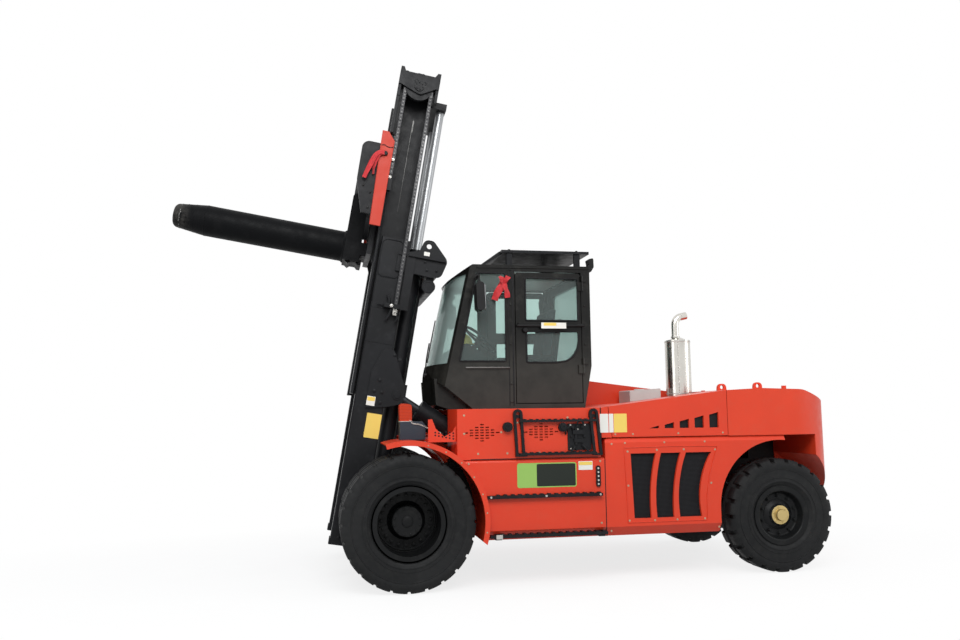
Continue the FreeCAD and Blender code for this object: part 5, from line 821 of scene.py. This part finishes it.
for x, z in ((-1692, 1488), (-1548, 1488), (-1692, 1262), (-1548, 1262), (-1620, 1446), (-1650, 1420), (-1590, 1420)):
    nuts.bolt(T(x, STACK, z), Y, 6, 6)

# perforated guards over the tilt cylinders' sides
for side, sign, out in SIDES:
    Piece(f"tilt_cover_{side}", "red").plate(
        [(-188, 1345), (-188, 1555), (-225, 1560), (-260, 1470), (-340, 1395), (-420, 1440), (-452, 1500),
         (-452, 1345)], 10, local(T(0, sign * 1140, 0), X, Z, out))
    holes = Piece(f"tilt_cover_holes_{side}", "gasket")
    for column in range(6):
        for row in range(3 - column // 3):
            holes.cap(T(-425 + column * 34, sign * 1150, 1374 + row * 26 + column * 7), out, (0, 8.5), (0.6, 8.5),
                      sides=10)

# coiled wires from the lamps, and the posts' collars
for side, sign, out in SIDES:
    wire = Piece(f"lamp_wire_{side}", "wire")
    line = smooth_line([T(x, sign * y, z) for x, y, z in (
        (-30, 1000, 1548), (-60, 1022, 1520), (-130, 1024, 1508), (-215, 1010, 1470), (-300, 960, 1440),
        (-340, 930, 1420))], 40)
    wire.tube([point + V((0, cos(index * 0.9), sin(index * 0.9))) * 0.005 for index, point in enumerate(line)],
              3, 6, steps=0)
    collar = Piece(f"lamp_collar_{side}", "steel")
    collar.block((-60, -62, -4), (64, 62, 3), at(4, sign * 950, 1540))
    collar.bolt(T(-40, sign * 1012, 1541), Z, 8, 6)

# muffler bands, the intake box's details, the counterweight's bosses, and the tail lamps on their mounts
bands = Piece("muffler_bands", "steel")
for z in (1786, 2348):
    bands.lathe(T(-3024, 420, z), Z, [(0, 136.5), (2, 138.5), (14, 138.5), (16, 136.5)], 64)
bands.rod(T(-2887, 440, 1776), T(-2887, 440, 2370), 4, 8)
bands.lathe(T(-3004, 420, 2400), Z, [(0, 41), (1, 47.5), (18, 47.5), (19, 41)])
clamp = Piece("intake_details", "grey")
clamp.block((-165, -4, -72), (165, 2, 52), at(-2615, 471, 1770))
clamp.cap(T(-2615, 300, 1840), Z, (-10, 60), (6, 60), (10, 50), sides=32)
for side, sign, out in SIDES:
    tail = Piece(f"weight_details_{side}", "red_cast")
    for x, z in ((-3256, 1846), (-3657, 1859)):
        tail.lathe(T(x, sign * 929, z), out, [(0, 34), (1, 34), (1, 24), (0, 22)], 24)
    tail.block((-70, -30, 0), (70, 30, 40), at(-4060, sign * 700, 1790))
for name, look, x, half in (("rear_details", "plastic", -4444, (6, 80, 45)),
                            ("rear_lamps", "amber", -4446, (4, 66, 32))):
    piece = Piece(name, look)
    for sign in (1, -1):
        piece.block([-part for part in half], half, at(x, sign * 560, 1500))


# ---- Cab ----
def gasket(piece, corners, y, reaches):
    """A rubber bead along a window's edge; each reach is how far a corner's rounding runs along the edges."""
    spots = [V((*corner, 0)) for corner in corners]
    line = []
    for spot, before, after, reach in zip(spots, spots[-1:] + spots, spots[1:] + spots, reaches):
        start, end = spot + (before - spot).normalized() * reach, spot + (after - spot).normalized() * reach
        line += [start.lerp(spot, t).lerp(spot.lerp(end, t), t) for t in (0, 0.25, 0.5, 0.75, 1)]
    piece.tube([T(p.x, y, p.y) for p in line], 9, 8, closed=True, steps=0)


for side, sign, out in SIDES:
    face, bead = sign * CAB, sign * (CAB + BEAD)
    seal = Piece(f"cab_gaskets_{side}", "gasket")
    gasket(seal, [(-556, 2126), (-741, 3022), (-1032, 3022), (-1032, 2126)], bead, [22] * 4)
    for x, half in ((-1108, 6), (-1066, 4)):
        seal.block((-half, -690, 0), (half, 690, 3), side_place(x, CAB, 2370, sign))
    seal = Piece(f"door_gaskets_{side}", "gasket", f"door_{side}")
    gasket(seal, [(-1798, 2542), (-1242, 2542), (-1242, 2978), (-1798, 2978)], bead, [18] * 4)
    gasket(seal, [(-1796, 2114), (-1247, 2114), (-1247, 2430), (-1796, 2430)], bead, [238, 18, 18, 18])
    latch = Piece(f"door_latch_{side}", "plastic", f"door_{side}")
    latch.tube([T(x, sign * y, z) for x, y, z in ((-1176, 777, 2485), (-1190, 790, 2485), (-1800, 790, 2488),
                                                  (-1816, 777, 2488))], 12, steps=4)
    latch.cap(T(-1230, sign * 776, 2440), out, (0, 26), (16, 26), (22, 20), sides=20)
    latch.block((-30, -12, 0), (30, 12, 20), side_place(-1800, 776, 2495, sign))
    bolts = Piece(f"cab_fasteners_{side}", "black")
    for x, *heights in ((-1087, 3060, 2700, 2300, 1900, 1720), (-700, 2070), (-900, 2070), (-1040, 2070),
                        (-1868, 2990, 2700, 2300)):
        for z in heights:
            bolts.bolt(T(x, face, z), out, 10, 7)
    for z in (2120, 2150, 2970, 3000):
        bolts.bolt(T(-1867, face, z), out, 8, 6)
    Piece(f"side_rail_{side}", "worn").tube(
        [T(x, sign * y, 2062) for x, y in ((-640, 752), (-650, 772), (-1030, 772), (-1046, 752))], 6.5, 8, steps=3)
    Piece(f"mirror_glass_{side}", "rod").block(
        (-3, -60, -125), (2, 60, 115), at(-783, sign * 908, 2760, 2))
    ends = Piece(f"mirror_clamps_{side}", "plastic")
    ends.rod(T(-735, sign * 752, 2972), T(-735, sign * 775, 2972), 24, 14)
    ends.block((-14, -12, -20), (14, 12, 20), at(-735, sign * 900, 2900))

wiper = Piece("front_wiper", "plastic")
wiper.tube([T(-246, 470, 2010), T(-262, 455, 2160), T(-296, 420, 2330)], 7, 8)
wiper.tube([T(-256, 560, 2120), T(-300, 520, 2330), T(-352, 480, 2560)], 6, 8)
wiper.rod(T(-232, 470, 1996), T(-262, 470, 2010), 20, 14)

# inside: grab frame, levers on their console, gauges, pedals, the hard hat and the roof's lining
inside = Piece("cab_details", "plastic")
for sign in (1, -1):
    inside.tube([T(x, sign * y, z) for x, y, z in ((-520, 560, 1760), (-505, 575, 2100), (-560, 590, 2500),
                                                   (-700, 600, 2980))], 14)
inside.tube([T(-505, 575, 2105), T(-500, 0, 2112), T(-505, -575, 2105)], 14)
for index in range(4):
    x, y = -1290 - index * 2, -262 - index * 34
    inside.rod(T(x, y, 2222), T(x + 14, y, 2330), 6, 8)
    inside.lathe(T(x + 14, y, 2325), Z, [(0, 6), (6, 14), (20, 16), (32, 8), (34, 0)], 14)
inside.block((-180, -100, 0), (180, 100, 90), at(-1330, -320, 2135))
inside.block((-20, -130, -100), (0, 130, 100), at(-650, 0, 2425, -25))
for y in (-90, 90):
    inside.block((-110, -45, 0), (0, 45, 12), at(-820, y, 1740, -35))
Piece("hard_hat", "plate_yellow").lathe(
    T(-681, 200, 2338), Z, [(0, 130), (8, 128), (12, 108), (50, 100), (90, 75), (112, 40), (118, 0)])
Piece("cab_lining", "grey").block((-500, -660, -4), (500, 660, 0), at(-1330, 0, 3060))


def cushion(name, half, *corners):
    """A padded seat part: a profile in the truck's side view, swollen across and towards its middle."""
    piece = Piece(name, "seat")
    spots = [V((*corner, 0)) for corner in corners]
    middle = V((sum(x for x, z in corners) / len(corners), sum(z for x, z in corners) / len(corners), 0))
    line = [spot.lerp(after, step / 6) for spot, after in zip(spots, spots[1:] + spots) for step in range(6)]
    line = smooth_line(line, 1, closed=True)
    rows = []
    for t in (-1, -0.97, -0.86, -0.62, -0.58, -0.3, 0, 0.3, 0.58, 0.62, 0.86, 0.97, 1):
        swell = 0.9 + 0.1 * (sqrt(max(0.0, 1 - t ** 6)) if abs(t) > 0.9 else 1.0)
        if abs(abs(t) - SEAM_AT) < 0.03:
            swell -= SEAM_DEEP
        row = [middle + (p - middle) * swell for p in line]
        rows.append(piece.ring([T(p.x, t * half, p.y) for p in row]))
    piece.solid(rows)
    piece.done("seat_pads", sharp=50)


SEAM_AT, SEAM_DEEP = 0.6, 0.05  # where the seams run, as a share of the half width, and how far they draw in
cushion("seat_cushion", 224, (-1598, 1990), (-1155, 1990), (-1143, 2060), (-1165, 2097), (-1400, 2084), (-1578, 2086))
cushion("seat_backrest", 214, (-1636, 2114), (-1548, 2114), (-1556, 2300), (-1612, 2700), (-1660, 2727),
        (-1722, 2724))

# roof guard bolts, the drip rail, the rear work lamps' lenses and the steps' brackets
top = Piece("guard_fasteners", "steel")
for x in (-1100, -1825):
    for y in (657, -657):
        top.bolt(T(x, y, 3278), Z, 13, 10)
top.done(slot="dark_paint", finish="black")
drip = Piece("cab_drip_rail", "black")
for sign in (1, -1):
    drip.tube([T(-740, sign * 752, 3078), T(-1300, sign * 753, 3082), T(-1920, sign * 752, 3082)], 8, 8)
lenses = Piece("work_lamp_lenses", "wire")
for sign in (1, -1):
    lenses.block((-3, -52, -40), (2, 52, 40), at(-2004, sign * 620, 3165))
bracket = Piece("step_brackets", "steel")
for sign in (1, -1):
    bracket.block((-30, -20, 0), (30, 20, 10), side_place(-830, 1262, 474, sign))
    for x in (-760, -1290, -1820):
        bracket.bolt(T(x, sign * 1248, 832), Y * sign, 7, 5)

for piece in list(WAITING):
    piece.done()  # the pieces that need nothing else said of them


# ---- Floor, light and camera ----
def floor():
    """A pale studio floor that fades into the bright background."""
    data = bpy.data.meshes.new("studio_floor")
    level = min(cad_box[0][2], 0.0) - 0.002
    data.from_pydata([(x, y, level) for x, y in ((-40, -60), (40, -60), (40, 20), (-40, 20))], [], [(0, 1, 2, 3)])
    data.materials.append(bpy.data.materials.new("studio_floor"))
    n = Nodes(data.materials[0])
    x, y, _ = n.split()
    across, deep = n.math("DIVIDE", x, 7.5), n.math("DIVIDE", n.math("ADD", y, 0.3), 4.0)
    away = n.math("SQRT", n.math("ADD", n.math("MULTIPLY", across, across), n.math("MULTIPLY", deep, deep)))
    grain = n.math("MULTIPLY", n.math("SUBTRACT", n.noise(0.8, 2), 0.5), 0.1)
    fade = n.ramp(n.math("ADD", away, grain), 0.3, 0.9, 0.78, 1.0)
    seen = n.seen()
    pale = n.mix(n.cloud(2.0, 3), (0.9, 0.9, 0.9), (0.94, 0.94, 0.94))
    n.set(Base_Color=n.mix(seen, (0.34, 0.34, 0.34), pale), Roughness=0.9, Specular_IOR_Level=0.1)
    n.blend(n.math("MULTIPLY", fade, seen), n.shader, n.new("Emission", (1, 1, 1), 1.0))
    return link("studio_floor", data)


floor()


def light(name, place, target, power, wide, high):
    lamp = bpy.data.lights.new(name, "AREA")
    lamp.shape, lamp.size, lamp.size_y, lamp.energy = "RECTANGLE", wide, high, power
    thing = link(name, lamp)
    thing.location = place
    thing.rotation_euler = (V(target) - V(place)).to_track_quat("-Z", "Y").to_euler()


# white for the rays that see the background, and a softer, cooler light on everything else
sky = bpy.data.worlds.new("studio")
bpy.context.scene.world = sky
n = Nodes(sky)
n.blend(n.seen(), n.new("Background", (0.95, 0.97, 1.0), 0.66), n.new("Background", (1, 1, 1), 1.0))
light("key", (1.5, 9.0, 8.5), (0, 0, 1.8), 850, 7.0, 5.0)
light("front_fill", (8.5, 5.0, 3.0), (0.5, 0, 2.0), 70, 4.0, 4.0)
light("rear_fill", (-9.0, 4.0, 4.0), (-1.5, 0, 1.5), 120, 4.0, 4.0)

view = bpy.data.cameras.new("photo_view")
view.lens, view.sensor_width = 31.275, 36.0
camera = link("photo_view", view)
yaw, pitch, roll = radians(10.87), radians(6.31), radians(-0.657)
ahead, right = V((-sin(yaw), -cos(yaw), 0)), V((-cos(yaw), sin(yaw), 0))
aim = ahead * cos(pitch) + Z * sin(pitch)
over = Z * cos(pitch) - ahead * sin(pitch)
level, crown = right * cos(roll) + over * sin(roll), over * cos(roll) - right * sin(roll)
camera.matrix_world = local(T(804, 8941, 1619), level, crown, -aim)
bpy.context.scene.camera = camera
bpy.context.scene.view_settings.view_transform = "Standard"
